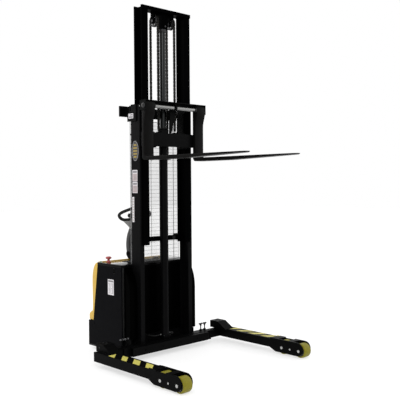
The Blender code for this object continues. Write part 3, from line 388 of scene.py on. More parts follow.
def skin(rings, loop=False, slot=0):
    """Join rings of points into quads, with the ends capped; a one-point ring is a pole."""
    made = [[BENCH.verts.new(p) for p in ring] for ring in rings]
    pairs = list(zip(made, made[1:]))
    if loop:
        pairs.append((made[-1], made[0]))
    faces = []
    for first, second in pairs:
        count = max(len(first), len(second))
        for k in range(count):
            n = (k + 1) % count
            corners = [first[k % len(first)], first[n % len(first)], second[n % len(second)],
                second[k % len(second)]]
            corners = list(dict.fromkeys(corners))
            if len(corners) > 2:
                faces.append(BENCH.faces.new(corners))
    if not loop:
        faces += [BENCH.faces.new(ring) for ring in (made[0], made[-1]) if len(ring) > 2]
    for face in faces:
        face.material_index = slot
    return faces


def lathe(profile, origin, axis, sides=48, slot=0, slots=None):
    """Turn (radius, height) points about an axis: a solid from the axis out, or else a closed ring.

    slots gives a material index by profile step.
    """
    axis = Vector(axis).normalized()
    helper = UPWARD if abs(axis.z) < 0.9 else Vector((1, 0, 0))
    across = axis.cross(helper).normalized()
    over = axis.cross(across)
    rings = []
    for radius, height in profile:
        centre = Vector(origin) + axis * height
        rings.append([centre + (across * c + over * s) * radius for c, s in circle(sides)] if radius
            else [centre])
    faces = skin(rings, loop=profile[0][0] > 0, slot=slot)
    for step, index in enumerate(slots or ()):
        for face in faces[step * sides : (step + 1) * sides]:
            face.material_index = index


def prism(points, low, high, slot=0):
    """A (y, z) outline pushed along X."""
    skin([[P(x, y, z) for y, z in points] for x in (low, high)], slot=slot)


def hose(path, radius, sides=14, loop=False):
    """A round tube along world points, with its section carried smoothly round the bends."""
    path = [Vector(p) for p in path]
    count = len(path)
    rings = []
    side = None
    for i, point in enumerate(path):
        before = path[i - 1] if i or loop else point
        after = path[(i + 1) % count] if i < count - 1 or loop else point
        along = (after - before).normalized()
        if side is None:
            side = along.orthogonal().normalized()
        side = (side - along * side.dot(along)).normalized()
        other = along.cross(side)
        rings.append([point + (side * c + other * s) * radius for c, s in circle(sides)])
    skin(rings, loop=loop)


def curve_through(points, steps=8, loop=False):
    """Catmull-Rom samples through points."""
    points = [Vector(p) for p in points]
    count = len(points)
    result = []
    for i in range(count if loop else count - 1):
        a = points[(i - 1) % count] if loop or i else points[0]
        b, c = points[i], points[(i + 1) % count]
        d = points[(i + 2) % count] if loop or i < count - 2 else points[-1]
        for k in range(steps):
            t = k / steps
            square, cube = 2 * a - 5 * b + 4 * c - d, 3 * b - a - 3 * c + d
            result.append(0.5 * ((2 * b) + (c - a) * t + square * t**2 + cube * t**3))
    return result if loop else [*result, points[-1]]


def arc(centre, radius, start, end, count):
    angles = [radians(start + (end - start) * i / count) for i in range(count + 1)]
    return [(centre[0] + radius * cos(a), centre[1] + radius * sin(a)) for a in angles]


def bolt(point, out, radius=0.007, head=0.005, washer=True):
    """A hexagon bolt head with its washer, standing out of a face."""
    point, out = Vector(point), Vector(out).normalized()
    if washer:
        bar(point - out * 0.0005, point + out * 0.0012, radius * 1.45, 20)
    bar(point, point + out * (0.001 + head), radius, 6)
    bar(point, point + out * (0.0014 + head), radius * 0.62, 16)


def weld(start, end, radius=0.0035):
    """A rippled fillet weld between two points."""
    start, end = Vector(start), Vector(end)
    count = max(4, int((end - start).length / 0.0035))
    along = (end - start).normalized()
    side = along.orthogonal().normalized()
    other = along.cross(side)
    rings = []
    for i in range(count + 1):
        swell = radius * (0.82 + 0.18 * sin(i * pi / 1.5)) * (0.5 if i in (0, count) else 1)
        centre = start.lerp(end, i / count)
        rings.append([centre + (side * c + other * s) * swell for c, s in circle(8)])
    skin(rings)


def sweep(stations, corner=0.004):
    """A solid through stations of (outer point, inner point, half width), each with rounded corners."""
    rings = []
    for outer, inner, half in stations:
        outer, inner = Vector(outer), Vector(inner)
        thick = (inner - outer).length
        deep = (inner - outer).normalized()
        centre = (outer + inner) / 2
        r = min(corner, thick * 0.45, half * 0.9)
        ring = []
        for sx, st, first in ((1, 1, 0), (-1, 1, 90), (-1, -1, 180), (1, -1, 270)):
            for k in range(4):
                a = radians(first + 30 * k)
                x = sx * (half - r) + r * cos(a)
                t = st * (thick / 2 - r) + r * sin(a)
                ring.append(centre + Vector((x, 0, 0)) + deep * t)
        rings.append(ring)
    skin(rings)


# ---- wheels -------------------------------------------------------------------------------------
def tyred_wheel(name, node, body, bore, core):
    """Crowned tread on a dished steel core with a bearing on each side."""
    centre = middle(node)
    extent = size(node)
    radius, half = extent.z / 2, extent.x / 2
    outside = [(radius, half * 0.7), (radius - 0.0012, half * 0.84), (radius - 0.004, half * 0.95),
        (radius - 0.0085, half), (core + 0.002, half)]
    inside = [(core, half - 0.0015), (core - 0.003, half - 0.002), (core - 0.006, half - 0.006),
        (bore + 0.012, half - 0.0065), (bore + 0.011, half - 0.0015), (bore + 0.001, half - 0.0015),
        (bore + 0.0002, half - 0.004)]
    right = outside + inside
    profile = right + [(r, -h) for r, h in reversed(right)]
    count = len(outside)
    steps = [0] * (count - 1) + [1] * (len(inside)) + [1] * (len(inside) + 1) + [0] * (count - 1) + [0]
    lathe(profile, centre, (1, 0, 0), 64, slots=steps[: len(profile)])
    return piece(name, [TREAD, STEEL], body, node, angle=28)


for side_name, _ in SIDES:
    for place in ("front", "rear"):
        wheel = f"{side_name}_{place}_load_wheel"
        tyred_wheel(f"{wheel}_detail", wheel, wheel, 0.0103, 0.045)
    tyred_wheel(f"{side_name}_caster_wheel_detail", f"{side_name}_caster_wheel",
        f"{side_name}_caster_wheel", 0.0053, 0.034)
tyred_wheel("drive_wheel_detail", "drive_wheel", "drive_wheel", 0.0153, 0.078)


# ---- forks --------------------------------------------------------------------------------------
def fork_stations(x):
    """Sections down the shank, round the heel and out along the blade to the tip."""
    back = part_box("left_fork")[1][1] - Y0
    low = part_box("left_fork")[0][2]
    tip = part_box("left_fork")[0][1] - Y0
    top = low + 0.031
    front = back - 0.035
    half = 0.0495
    rows = [((back, 2.1705), (front - 0.014, 2.1705), half - 0.003), ((back, 2.166), (front - 0.02, 2.164),
        half), ((back, 2.15), (front - 0.025, 2.148), half), ((back, 2.095), (front - 0.025, 2.092), half),
        ((back, 2.065), (front - 0.017, 2.06), half), ((back, 2.035), (front - 0.007, 2.03), half),
        ((back, 2.008), (front - 0.0015, 2.003), half), ((back, 1.98), (front, 1.975), half),
        ((back, 1.8), (front, 1.8), half)]
    for i in range(13):
        a = radians(-90 * i / 12)
        outer = (back - 0.03 + 0.03 * cos(a), low + 0.03 + 0.03 * sin(a))
        inner = (front - 0.018 + 0.018 * cos(a), top + 0.018 + 0.018 * sin(a))
        rows.append((outer, inner, half))
    for y in (-0.25, -0.38, -0.5):
        rows.append(((y, low), (y, top), half))
    taper = [0.12, 0.3, 0.5, 0.66, 0.78, 0.87, 0.93, 0.965, 0.985, 0.996, 1.0]
    for t in taper:
        y = -0.5 + (tip + 0.5) * t
        pull = max(0.0, (t - 0.62) / 0.38)
        width = half - 0.012 * pull**1.6
        if t > 0.93:
            width *= sqrt(max(0.12, 1 - ((t - 0.93) / 0.072) ** 2))
        thin = 0.022 * t + (0.006 * ((t - 0.965) / 0.035) if t > 0.965 else 0)
        rows.append(((y, low + thin), (y, top - (0.001 if t == 1.0 else 0)), width))
    return [(P(x, *outer), P(x, *inner), width) for outer, inner, width in rows]


for side_name, side in SIDES:
    low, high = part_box(f"{side_name}_fork")
    x = (low[0] + high[0]) / 2
    sweep(fork_stations(x), 0.0045)
    piece(f"{side_name}_fork_detail", FORK_BLACK, f"{side_name}_fork", f"{side_name}_fork", angle=50)
    shaft = middle("fork_shaft")
    inner_face = x - side * 0.05
    ring = [(0.0182, 0), (0.0265, 0), (0.0275, 0.0015), (0.0275, 0.0045), (0.0262, 0.006), (0.0182, 0.006)]
    lathe(ring, (inner_face, shaft.y, shaft.z), (-side, 0, 0), 40)
    piece(f"{side_name}_fork_bush", DARK_STEEL, f"{side_name}_fork", angle=30)


# ---- lift chains --------------------------------------------------------------------------------
SHEAVE_Z = middle("left_sheave").z
SHEAVE_Y = middle("left_sheave").y - Y0
CHAIN_R = 0.05
LINK = 0.015875
CHAIN_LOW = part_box("left_chain")[0][2]
CARRIAGE_CHAIN_END = 1.93


def link_plates(x, start, end, offsets):
    """Side plates of one leaf link between two pin centres, each a waisted oval."""
    along = (end - start).normalized()
    across = Vector((1, 0, 0))
    deep = along.cross(across).normalized()
    length = (end - start).length
    r, waist = 0.0073, 0.0063
    outline = []
    for centre, facing in ((length, 0), (0.0, 180)):
        for k in range(5):
            a = radians(facing - 70 + 35 * k)
            outline.append((centre + r * cos(a), r * sin(a)))
        outline.append((length / 2, waist if facing == 0 else -waist))
    for offset in offsets:
        rings = []
        for edge in (-0.0013, 0.0013):
            base = start + across * (x + offset + edge - start.x)
            rings.append([base + along * a + deep * b for a, b in outline])
        skin(rings, slot=0)


def leaf_chain(name, side, pins, body):
    x = side * abs(middle("left_sheave").x)
    points = [P(x, y, z) for y, z in pins]
    for i, (start, end) in enumerate(zip(points, points[1:])):
        offsets = (-0.0081, -0.0027, 0.0027, 0.0081) if i % 2 else (-0.0054, 0.0, 0.0054)
        link_plates(x, start, end, offsets)
    for point in points:
        bar(point - Vector((0.0099, 0, 0)), point + Vector((0.0099, 0, 0)), 0.0026, 8, 1)
    return piece(name, [CHAIN_STEEL, CHAIN_PIN], body, angle=30)


def straight_pins(y, low, high):
    count = round((high - low) / LINK)
    return [(y, low + (high - low) * i / count) for i in range(count + 1)]


for side_name, side in SIDES:
    x = side * abs(middle("left_sheave").x)
    front_y, rear_y = SHEAVE_Y - CHAIN_R, SHEAVE_Y + CHAIN_R
    front = leaf_chain(f"{side_name}_chain_front_run", side,
        straight_pins(front_y, CARRIAGE_CHAIN_END + 0.012, SHEAVE_Z), None)
    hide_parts(f"{side_name}_chain")
    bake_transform(front)
    rear = leaf_chain(f"{side_name}_chain_rear_run", side, straight_pins(rear_y, CHAIN_LOW + 0.02,
        SHEAVE_Z), None)
    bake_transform(rear)
    wrap = arc((SHEAVE_Y, SHEAVE_Z), CHAIN_R, 180, 0, 10)
    leaf_chain(f"{side_name}_chain_wrap", side, wrap, "inner_mast")
    # anchors: a clevis on a threaded rod, below the carriage lug and on the barrel's bar
    block((x - 0.0075, x + 0.0075), (front_y - 0.006, front_y + 0.006),
        (CARRIAGE_CHAIN_END - 0.0004, CARRIAGE_CHAIN_END + 0.011))
    bar(P(x, front_y, 1.868), P(x, front_y, 1.905), 0.005, 20)
    for z in (1.88, 1.89):
        bar(P(x, front_y, z), P(x, front_y, z + 0.007), 0.0092, 6)
    piece(f"{side_name}_carriage_chain_anchor", STEEL, "carriage", bevel=0.0006)
    block((x - 0.0075, x + 0.0075), (rear_y - 0.006, rear_y + 0.006), (CHAIN_LOW, CHAIN_LOW + 0.018))
    bar(P(x, rear_y, CHAIN_LOW - 0.032), P(x, rear_y, CHAIN_LOW - 0.0205), 0.005, 20)
    bar(P(x, rear_y, CHAIN_LOW - 0.029), P(x, rear_y, CHAIN_LOW - 0.0215), 0.0092, 6)
    piece(f"{side_name}_mast_chain_anchor", STEEL, bevel=0.0006)


def sheave_detail(side_name):
    """Grooved roller with a recessed web, a hub ring and lightening holes shown as dark bosses."""
    node = f"{side_name}_sheave"
    half = size(node).x / 2
    radius = size(node).z / 2
    profile_half = [(0.0427, 0.0102), (0.0465, 0.0106), (radius - 0.0015, 0.0112), (radius, 0.0122),
        (radius - 0.0008, half - 0.0005), (0.044, half), (0.041, half - 0.001), (0.0395, half - 0.0045),
        (0.026, half - 0.005), (0.0245, half - 0.0005), (0.018, half), (0.015, half - 0.001),
        (0.0106, half - 0.001)]
    profile = profile_half + [(r, -h) for r, h in reversed(profile_half)]
    slots = [0] * 3 + [1] + [0] * 4 + [1] * 2 + [0] * 16
    lathe(profile, middle(node), (1, 0, 0), 56, slots=slots)
    for c, s in circle(6):
        centre = middle(node) + Vector((0, c, s)) * 0.0328
        bar(centre - Vector((half - 0.0035, 0, 0)), centre + Vector((half - 0.0035, 0, 0)), 0.0034, 12, 1)
    piece(f"{node}_detail", [DARK_STEEL, STEEL], f"{side_name}_sheave", node, angle=30)


for side_name, _ in SIDES:
    sheave_detail(side_name)


# ---- cylinder and mast --------------------------------------------------------------------------
def cylinder():
    low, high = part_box("cylinder_barrel")
    foot, top = low[2], high[2]
    axis = middle("piston_rod")
    base = (axis.x, axis.y, 0)
    bore = size("piston_rod").x / 2 + 0.0004
    stem = 0.027
    profile = [(stem + 0.0007, top - 0.03), (stem + 0.0007, top - 0.002), (stem + 0.0017, top),
        (0.0355, top), (0.0395, top - 0.003), (0.04, top - 0.008), (0.04, top - 0.036),
        (0.039, top - 0.039), (0.0366, top - 0.04), (0.0366, top - 0.044), (0.0372, top - 0.048),
        (0.037, top - 0.056), (0.037, foot + 0.05), (0.0395, foot + 0.046), (0.04, foot + 0.026),
        (bore, foot + 0.026), (bore, top - 0.03)]
    lathe(profile, base, UPWARD, 64)
    block((-0.044, 0.044), (0.001, 0.077), (foot, foot + 0.026))
    block((-0.108, 0.108), (0.066, 0.101), (CHAIN_LOW - 0.0203, CHAIN_LOW - 0.0003))
    piece("cylinder_barrel_detail", BARREL_BLACK, "chassis", "cylinder_barrel", bevel=0.0015)
    lathe([(stem + 0.0003, top - 0.002), (0.034, top), (0.033, top + 0.004), (stem + 0.0003, top + 0.005)],
        base, UPWARD, 48)
    piece("rod_wiper", RUBBER)
    for x in (-0.034, 0.034):
        for y in (0.01, 0.068):
            bolt(P(x, y, foot + 0.026), UPWARD, 0.0052, 0.005)
    pipe_z = foot + 0.038
    bar(P(0.03, 0.04, pipe_z), P(0.056, 0.04, pipe_z), 0.0085, 6)
    bar(P(0.054, 0.04, pipe_z), P(0.068, 0.04, pipe_z), 0.0065, 16)
    bar(P(-0.052, 0.04, pipe_z), P(-0.03, 0.04, pipe_z), 0.0075, 6)
    piece("cylinder_foot_fittings", DARK_STEEL, bevel=0.0004)
    run = ((-0.05, 0.04, 0), (-0.066, 0.034, 0), (-0.088, 0.024, 0.001), (-0.125, 0.022, 0.002),
        (-0.15, 0.042, 0.004), (-0.154, 0.119, 0.006))
    hose(curve_through([P(x, y, pipe_z + z) for x, y, z in run]), 0.0042, 12)
    piece("return_hose", RUBBER)
    for start, end in ((-0.058, -0.072), (-0.104, -0.122)):
        bar(P(start, 0.0235, pipe_z + 0.001), P(end, 0.0225, pipe_z + 0.0015), 0.005, 6)
    piece("return_hose_ferrules", CHAIN_PIN, bevel=0.0004)
    run = ((0.066, 0.04, 0), (0.085, 0.041, -0.002), (0.104, 0.055, -0.01), (0.11, 0.08, -0.017),
        (0.11, 0.119, -0.019))
    hose(curve_through([P(x, y, pipe_z + z) for x, y, z in run]), 0.0075)
    piece("cylinder_supply_hose", RUBBER)
    low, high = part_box("piston_rod")
    piston = bore - 0.0006
    rod = [(0, high[2]), (stem - 0.0008, high[2]), (stem, high[2] - 0.001), (stem, low[2] + 0.05),
        (piston, low[2] + 0.049), (piston, low[2]), (0, low[2])]
    lathe(rod, base, UPWARD, 64)
    piece("piston_rod_detail", SHADED_ROD_CHROME, "inner_mast", "piston_rod")
    lathe([(stem + 0.0003, high[2] - 0.026), (0.033, high[2] - 0.026), (0.034, high[2] - 0.024),
        (0.034, high[2]), (stem + 0.0003, high[2])], base, UPWARD, 48)
    piece("rod_head_collar", DARK_STEEL, "inner_mast")


def mast_head():
    """The sheave pins' keepers and the pin that holds the rod's head."""
    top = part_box("inner_top_beam")[1][2]
    sheave_x = abs(middle("left_sheave").x)
    for _, side in SIDES:
        for reach, out in ((0.021, 0.005), (-0.023, -0.004)):
            x = side * (sheave_x + reach)
            bar(P(x, SHEAVE_Y, SHEAVE_Z), P(x + side * out, SHEAVE_Y, SHEAVE_Z), 0.0125, 24)
    bar(P(0, 0.0035, top - 0.14), P(0, -0.003, top - 0.14), 0.008, 24)
    piece("mast_head_pins", DARK_STEEL, "inner_mast", bevel=0.0004)
    for _, side in SIDES:
        weld(P(side * 0.219, -0.0245, top - 0.0315), P(side * 0.27, -0.0245, top - 0.0315), 0.0014)
    piece("mast_head_welds", SHADED_MAST_BLACK, "inner_mast")


def rail_details():
    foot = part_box("left_outer_rail")[0][2]
    for _, side in SIDES:
        out = side * 0.2972
        weld(P(out, 0.004, foot + 0.001), P(out, 0.056, foot + 0.001), 0.0035)
        weld(P(side * 0.243, -0.0005, foot + 0.001), P(side * 0.295, -0.0005, foot + 0.001), 0.0032)
        weld(P(side * 0.2978, 0.0355, 2.022), P(side * 0.2978, 0.0355, 2.148), 0.0026)
        weld(P(side * 0.273, 0.1285, 2.084), P(side * 0.273, 0.1285, 2.142), 0.0028)
        weld(P(side * 0.2735, 0.227, 2.084), P(side * 0.2735, 0.227, 2.142), 0.0028)
    piece("rail_welds", BLACK)
    stud = [(0, 0.0085), (0.005, 0.0082), (0.0075, 0.0066), (0.0084, 0.004), (0.0084, 0), (0, 0)]
    for _, side in SIDES:
        lathe(stud, P(side * 0.2885, 0, 2.14), (0, -1, 0), 36)
    piece("rail_stop_studs", STEEL, angle=40)
    low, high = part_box("inner_lower_bar")
    bar_low, bar_high = low[2], high[2]
    for side in (-1, 1):
        block((side * 0.15 - 0.016, side * 0.15 + 0.016), (0.0745, 0.0808),
            (bar_low + 0.006, bar_high - 0.006))
    block((0.15, 0.2055), (0.0815, 0.0915), (bar_high + 0.0003, bar_high + 0.012))
    piece("lower_bar_pads", BLACK_PLASTIC, "inner_mast", bevel=0.0015)
    z = (bar_low + bar_high) / 2
    for x, y in ((-0.15, 0.0745), (0.15, 0.0745)):
        bolt(P(x, y, z + 0.004), (0, -1, 0), 0.0038, 0.002, washer=False)
    piece("lower_bar_screws", DARK_STEEL, "inner_mast")


cylinder()
mast_head()
rail_details()


# ---- wire guard ---------------------------------------------------------------------------------
def wire_guard():
    low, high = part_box("mesh_guard")
    left, right, bottom, top = low[0] + 0.001, high[0] + 0.012, low[2] + 0.003, high[2] - 0.003
    y = high[1] - Y0 - 0.0035
    corners = [P(left, y, bottom), P(right, y, bottom), P(right, y, top), P(left, y, top)]
    for start, end in zip(corners, corners[1:] + corners[:1]):
        hose([start, end], 0.0024, 12)
    pitch, columns = 0.0335, 54
    rows = round((top - bottom) / pitch)
    for i in range(1, rows):
        z = bottom + (top - bottom) * i / rows
        hose([P(left, y - 0.0012, z), P(right, y - 0.0012, z)], 0.0012, 6)
    for i in range(1, columns):
        x = left + (right - left) * i / columns
        hose([P(x, y + 0.0008, bottom), P(x, y + 0.0008, top)], 0.0012, 6)
    for x in (-0.225, -0.036, 0.226):
        hose([P(x, y + 0.0018, bottom), P(x, y + 0.0018, top)], 0.002, 8)
    piece("wire_guard_detail", WIRE, "chassis", "mesh_guard", angle=50)
    for _, side in SIDES:
        for z in (0.97, 1.91):
            strap = [(0.1175, z - 0.012), (0.1205, z - 0.012), (0.1205, z - 0.002), (y - 0.003, z - 0.002),
                (y - 0.003, z + 0.001), (0.1175, z + 0.001)]
            prism(strap, side * 0.255, side * 0.269)
            bar(P(side * 0.262, y - 0.004, z), P(side * 0.262, y + 0.0045, z), 0.0065, 20)
    piece("guard_brackets", BLACK, bevel=0.0006)


wire_guard()


# ---- carriage -----------------------------------------------------------------------------------
def carriage_details():
    shaft = middle("fork_shaft")
    half = size("fork_shaft").x / 2
    shaft_line = [(0, -half), (0.0165, -half), (0.0175, -half + 0.001), (0.0175, half - 0.001),
        (0.0165, half), (0, half)]
    lathe(shaft_line, shaft, (1, 0, 0), 56)
    piece("fork_shaft_detail", SHAFT_CHROME, "carriage", "fork_shaft")
    for _, side in SIDES:
        edge = Vector((side * (half + 0.0005), shaft.y, shaft.z))
        cap = [(0, 0.006), (0.015, 0.0055), (0.0215, 0.004), (0.023, 0.0015), (0.023, 0.0), (0, 0.0)]
        lathe(cap, edge, (side, 0, 0), 40)
        bolt(edge + Vector((side * 0.0055, 0, 0)), (side, 0, 0), 0.005, 0.0035, washer=False)
    piece("shaft_end_caps", DARK_STEEL, "carriage", angle=40)
    for _, side in SIDES:
        weld(P(side * 0.1715, -0.0665, 1.805), P(side * 0.1715, -0.0665, 1.912), 0.003)
        weld(P(side * 0.1845, -0.0665, 1.805), P(side * 0.1845, -0.0665, 1.912), 0.003)
        weld(P(side * 0.1845, -0.0665, 2.1), P(side * 0.1845, -0.0665, 2.152), 0.0028)
        weld(P(side * 0.012, -0.0825, 2.1545), P(side * 0.33, -0.0825, 2.1545), 0.0016)
    piece("carriage_welds", BLACK, "carriage")
    for side_name, side in SIDES:
        for level in ("lower", "upper"):
            node = f"{side_name}_{level}_roller"
            radius, width = size(node).z / 2, size(node).x / 2
            half_ring = [(radius, width - 0.003), (radius - 0.002, width), (0.03, width),
                (0.029, width - 0.001), (0.019, width - 0.001), (0.018, width), (0.0125, width)]
            lathe(half_ring + [(r, -h) for r, h in reversed(half_ring)], middle(node), (1, 0, 0), 48)
            piece(f"{node}_detail", DARK_STEEL, node, node, angle=30)
    for side_name, side in SIDES:
        for level, z in (("lower", 1.84), ("upper", 2.11)):
            y = middle(f"{side_name}_{level}_roller").y - Y0
            bolt(P(side * 0.1715, y, z), (-side, 0, 0), 0.0075, 0.0045)
    piece("roller_pin_nuts", DARK_STEEL, "carriage", bevel=0.0004)


carriage_details()


# ---- legs and sleeve ----------------------------------------------------------------------------
def clip_y(points, limit, keep):
    """The part of a flat polygon on one side of a line across it: keep 1 is above limit, -1 below."""
    result = []
    for (x0, y0), (x1, y1) in zip(points, points[1:] + points[:1]):
        inside, next_inside = keep * (y0 - limit) >= 0, keep * (y1 - limit) >= 0
        if inside:
            result.append((x0, y0))
        if inside != next_inside:
            t = (limit - y0) / (y1 - y0)
            result.append((x0 + (x1 - x0) * t, limit))
    return result


def leg_details(side_name, side):
    body = f"{side_name}_leg"
    outer = 0.7437
    head = [(0, 0.0036), (0.01, 0.0036), (0.0125, 0.0027), (0.0132, 0.0008), (0.0132, 0), (0, 0)]
    for face, out in ((side * outer, side), (side * 0.6272, -side)):
        for y in (-0.9545, -0.772):
            lathe(head, P(face, y, AXLE_Z), (out, 0, 0), 36)
        bolt(P(face, -0.863, AXLE_Z), (out, 0, 0), 0.0085, 0.002, washer=False)
    piece(f"{side_name}_axle_heads", BRIGHT, body, angle=30)
    # slanted marking patches along the top, as separate thin films
    near, far, skew = side * 0.65, side * 0.735, 0.088
    roof_y, deck, roof = -0.6405, 0.1212, 0.1292
    for start, end in ((-0.135, -0.21), (-0.298, -0.365), (-0.442, -0.522), (-0.594, -0.676)):
        patch = [(near, start + skew), (near, end + skew), (far, end), (far, start)]
        for z, low, high in ((deck, roof_y, -0.1275), (roof, -0.7, roof_y)):
            flat = clip_y(clip_y(patch, low, 1), high, -1)
            if len(flat) > 2:
                skin([[P(x, y, z) for x, y in flat], [P(x, y, z + 0.0005) for x, y in flat]])
    piece(f"{side_name}_leg_marking", HAZARD, body)
    weld(P(side * 0.6265, -0.026, 0.047), P(side * 0.6265, -0.026, 0.112), 0.0035)
    weld(P(side * 0.7, -0.1255, 0.1218), P(side * 0.63, -0.1255, 0.1218), 0.003)
    weld(P(side * 0.7055, -0.12, 0.1215), P(side * 0.7055, 0.05, 0.1215), 0.003)
    weld(P(side * 0.632, -0.6405, 0.1225), P(side * 0.739, -0.6405, 0.1225), 0.0022)
    piece(f"{side_name}_leg_welds", BLACK, body)
    for y in (0.05, 0.005):
        bolt(P(side * 0.6525, y, 0.183), UPWARD, 0.0062, 0.004)
    bar(P(side * 0.7055, 0.03, 0.155), P(side * 0.7085, 0.03, 0.155), 0.007, 24)
    piece(f"{side_name}_socket_bolts", DARK_STEEL, body, bevel=0.0004)


def knob_detail(node):
    """Hexagon nut, threaded stem and a T bar with ball ends."""
    low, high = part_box(node)
    x, y = (low[0] + high[0]) / 2, (low[1] + high[1]) / 2
    base = Vector((x, y, low[2]))
    bar(base, base + Vector((0, 0, 0.012)), 0.0128, 6)
    for i in range(16):
        z = 0.012 + i * 0.0028
        lathe([(0.004, z), (0.0056, z + 0.0006), (0.0056, z + 0.0012), (0.004, z + 0.0018)], base, UPWARD,
            14)
    bar(base + Vector((0, 0, 0.01)), base + Vector((0, 0, 0.062)), 0.0052, 14)
    tip = high[2] - low[2] - 0.008
    ends = [base + Vector((dx, 0, tip)) for dx in (-0.0125, 0.0125)]
    bar(ends[0], ends[1], 0.0068, 16)
    for end in ends:
        lathe([(0, 0.008), (0.0055, 0.007), (0.0086, 0.004), (0.0096, 0), (0.0086, -0.0042),
            (0.0055, -0.008), (0, -0.0092)], end, UPWARD, 18, slot=1)
    bar(base + Vector((0, 0, 0.044)), base + Vector((0, 0, tip)), 0.0085, 20, end_radius=0.0065)
    piece(f"{node}_detail", [BLACK, CAST], node, node, bevel=0.0003, angle=40)


def sleeve_details():
    for _, side in SIDES:
        xs = (side * 0.485, side * 0.5038)
        for zs in ((0.1165, 0.119), (0.0355, 0.0395)):
            block(xs, (-0.0325, 0.0625), zs)
        for ys in ((-0.0325, -0.0285), (0.0585, 0.0625)):
            block(xs, ys, (0.0355, 0.1205))
        weld(P(side * 0.4382, -0.03, 0.05), P(side * 0.4382, -0.03, 0.112), 0.003)
    weld(P(-0.436, -0.0298, 0.1178), P(0.436, -0.0298, 0.1178), 0.0022)
    piece("sleeve_collars", BLACK, bevel=0.0008)
    for x in (-0.3, -0.1, 0.1, 0.3):
        bolt(P(x, -0.068, 0.081), (0, -1, 0), 0.006, 0.004)
    piece("beam_bolts", BLACK, bevel=0.0004)


for side_name, side in SIDES:
    leg_details(side_name, side)
    for place in ("inner", "outer"):
        knob_detail(f"{side_name}_{place}_leg_knob")
sleeve_details()


# ---- power unit covers --------------------------------------------------------------------------
def front_cover():
    """Glossy wall behind the rails with a curved wing outside each, kept near black as painted shade for
    the shadow behind the mast.
    """
    low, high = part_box("front_cover")
    back = high[1] - Y0
    bottom, top = low[2], high[2]
    front, turn_y, turn_z, rise = 0.045, 0.17, 0.53, 0.235
    block((-0.377, 0.377), (0.1205, back), (bottom, top))
    last = acos((turn_y - back) / (turn_y - front))
    wing = [(back, bottom), (front, bottom)]
    for i in range(29):
        a = last * i / 28
        wing.append((turn_y - (turn_y - front) * cos(a), turn_z + rise * sin(a)))
    for _, side in SIDES:
        prism(wing, side * 0.3, side * 0.378)
    piece("front_cover_detail", SHADED_COVER_BLACK, "chassis", "front_cover", bevel=0.004, segments=3, angle=30)
    for _, side in SIDES:
        block((side * 0.376, side * 0.3916), (0.126, 0.1335), (bottom, top + 0.002))
    piece("front_cover_seals", RUBBER, bevel=0.001)


def lid():
    low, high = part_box("top_cover")
    bottom, top = low[2], high[2]
    back = high[1] - Y0
    corner, half, front = 0.022, 0.402, 0.1203
    outline = [(-half, back), (half, back)]
    outline += arc((half - corner, front + corner), corner, 0, -90, 8)
    outline += arc((corner - half, front + corner), corner, -90, -180, 8)
    rings = []
    edge = ((0, top - 0.007), (0.0012, top - 0.003), (0.0045, top - 0.0006), (0.0075, top))
    for inset, z in ((0.0015, bottom), (0, bottom + 0.002), *edge):
        far = back - inset * 0.4
        rings.append([P(x - copysign(inset, x), max(front + inset, min(far, y)), z) for x, y in outline])
    skin(rings)
    piece("lid_detail", LID_BLACK, "chassis", "top_cover", angle=50)
    box_rim((-0.255, 0.085), (0.146, 0.196), (top - 0.001, top + 0.0085), 0.01)
    block((-0.25, 0.08), (0.15, 0.192), (top - 0.001, top + 0.0015))
    piece("lid_pen_tray", BLACK_PLASTIC, bevel=0.0015)
    block((-0.21, 0.13), (0.24, 0.372), (top - 0.0005, top + 0.0016))
    for i in range(26):
        x = -0.2 + i * 0.0128
        block((x, x + 0.005), (0.246, 0.366), (top + 0.001, top + 0.003))
    piece("lid_rubber_mat", RUBBER, bevel=0.0005)
    lathe([(0.029, 0), (0.041, 0), (0.0415, 0.002), (0.036, 0.006), (0.03, 0.0064), (0.029, 0.005)],
        P(0, DRIVE_Y, top - 0.0005), UPWARD, 48)
    piece("column_grommet", RUBBER)
    for x in (-0.375, 0.375):
        for y in (0.16, 0.455):
            lathe([(0, 0.0016), (0.0045, 0.0014), (0.0065, 0.0004), (0.0065, -0.0008), (0, -0.0008)],
                P(x, y, top), UPWARD, 24)
    piece("lid_screws", STEEL)
    lathe([(0, 0.0085), (0.004, 0.0075), (0.0058, 0.0045), (0.006, 0.0), (0, 0.0)], P(-0.372, 0.472, top),
        UPWARD, 24)
    piece("status_lamp", GREEN)


def cover_section(inset):
    """The rear cover's side view as a smooth run of points, moved in by inset."""
    # in from the back, its share of the inset, height, its share of the inset
    keys = [(0, 1, 0.257, 1), (0, 1, 0.275, 0), (0, 1, 0.298, 0), (0.002, 1, 0.312, -0.5),
        (0.011, 1, 0.325, -0.6), (0.03, 1, 0.335, -0.6), (0.045, 1, 0.345, -0.5), (0.052, 1, 0.365, 0),
        (0.054, 1, 0.43, 0), (0.052, 1, 0.53, 0), (0.051, 1, 0.61, 0), (0.054, 1, 0.66, 0),
        (0.062, 1, 0.705, -0.2), (0.078, 0.8, 0.744, -0.5), (0.096, 0.5, 0.769, -0.8),
        (0.116, 0, 0.782, -1), (0.135, 0, 0.785, -1)]
    smooth = curve_through([(BACK - y - inset * pull, z + inset * lift, 0) for y, pull, z, lift in keys], 4)
    return [(0.5578, 0.257 + inset)] + [(p.x, p.y) for p in smooth] + [(0.4848, 0.785 - inset)]


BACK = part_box("rear_cover")[1][1] - Y0


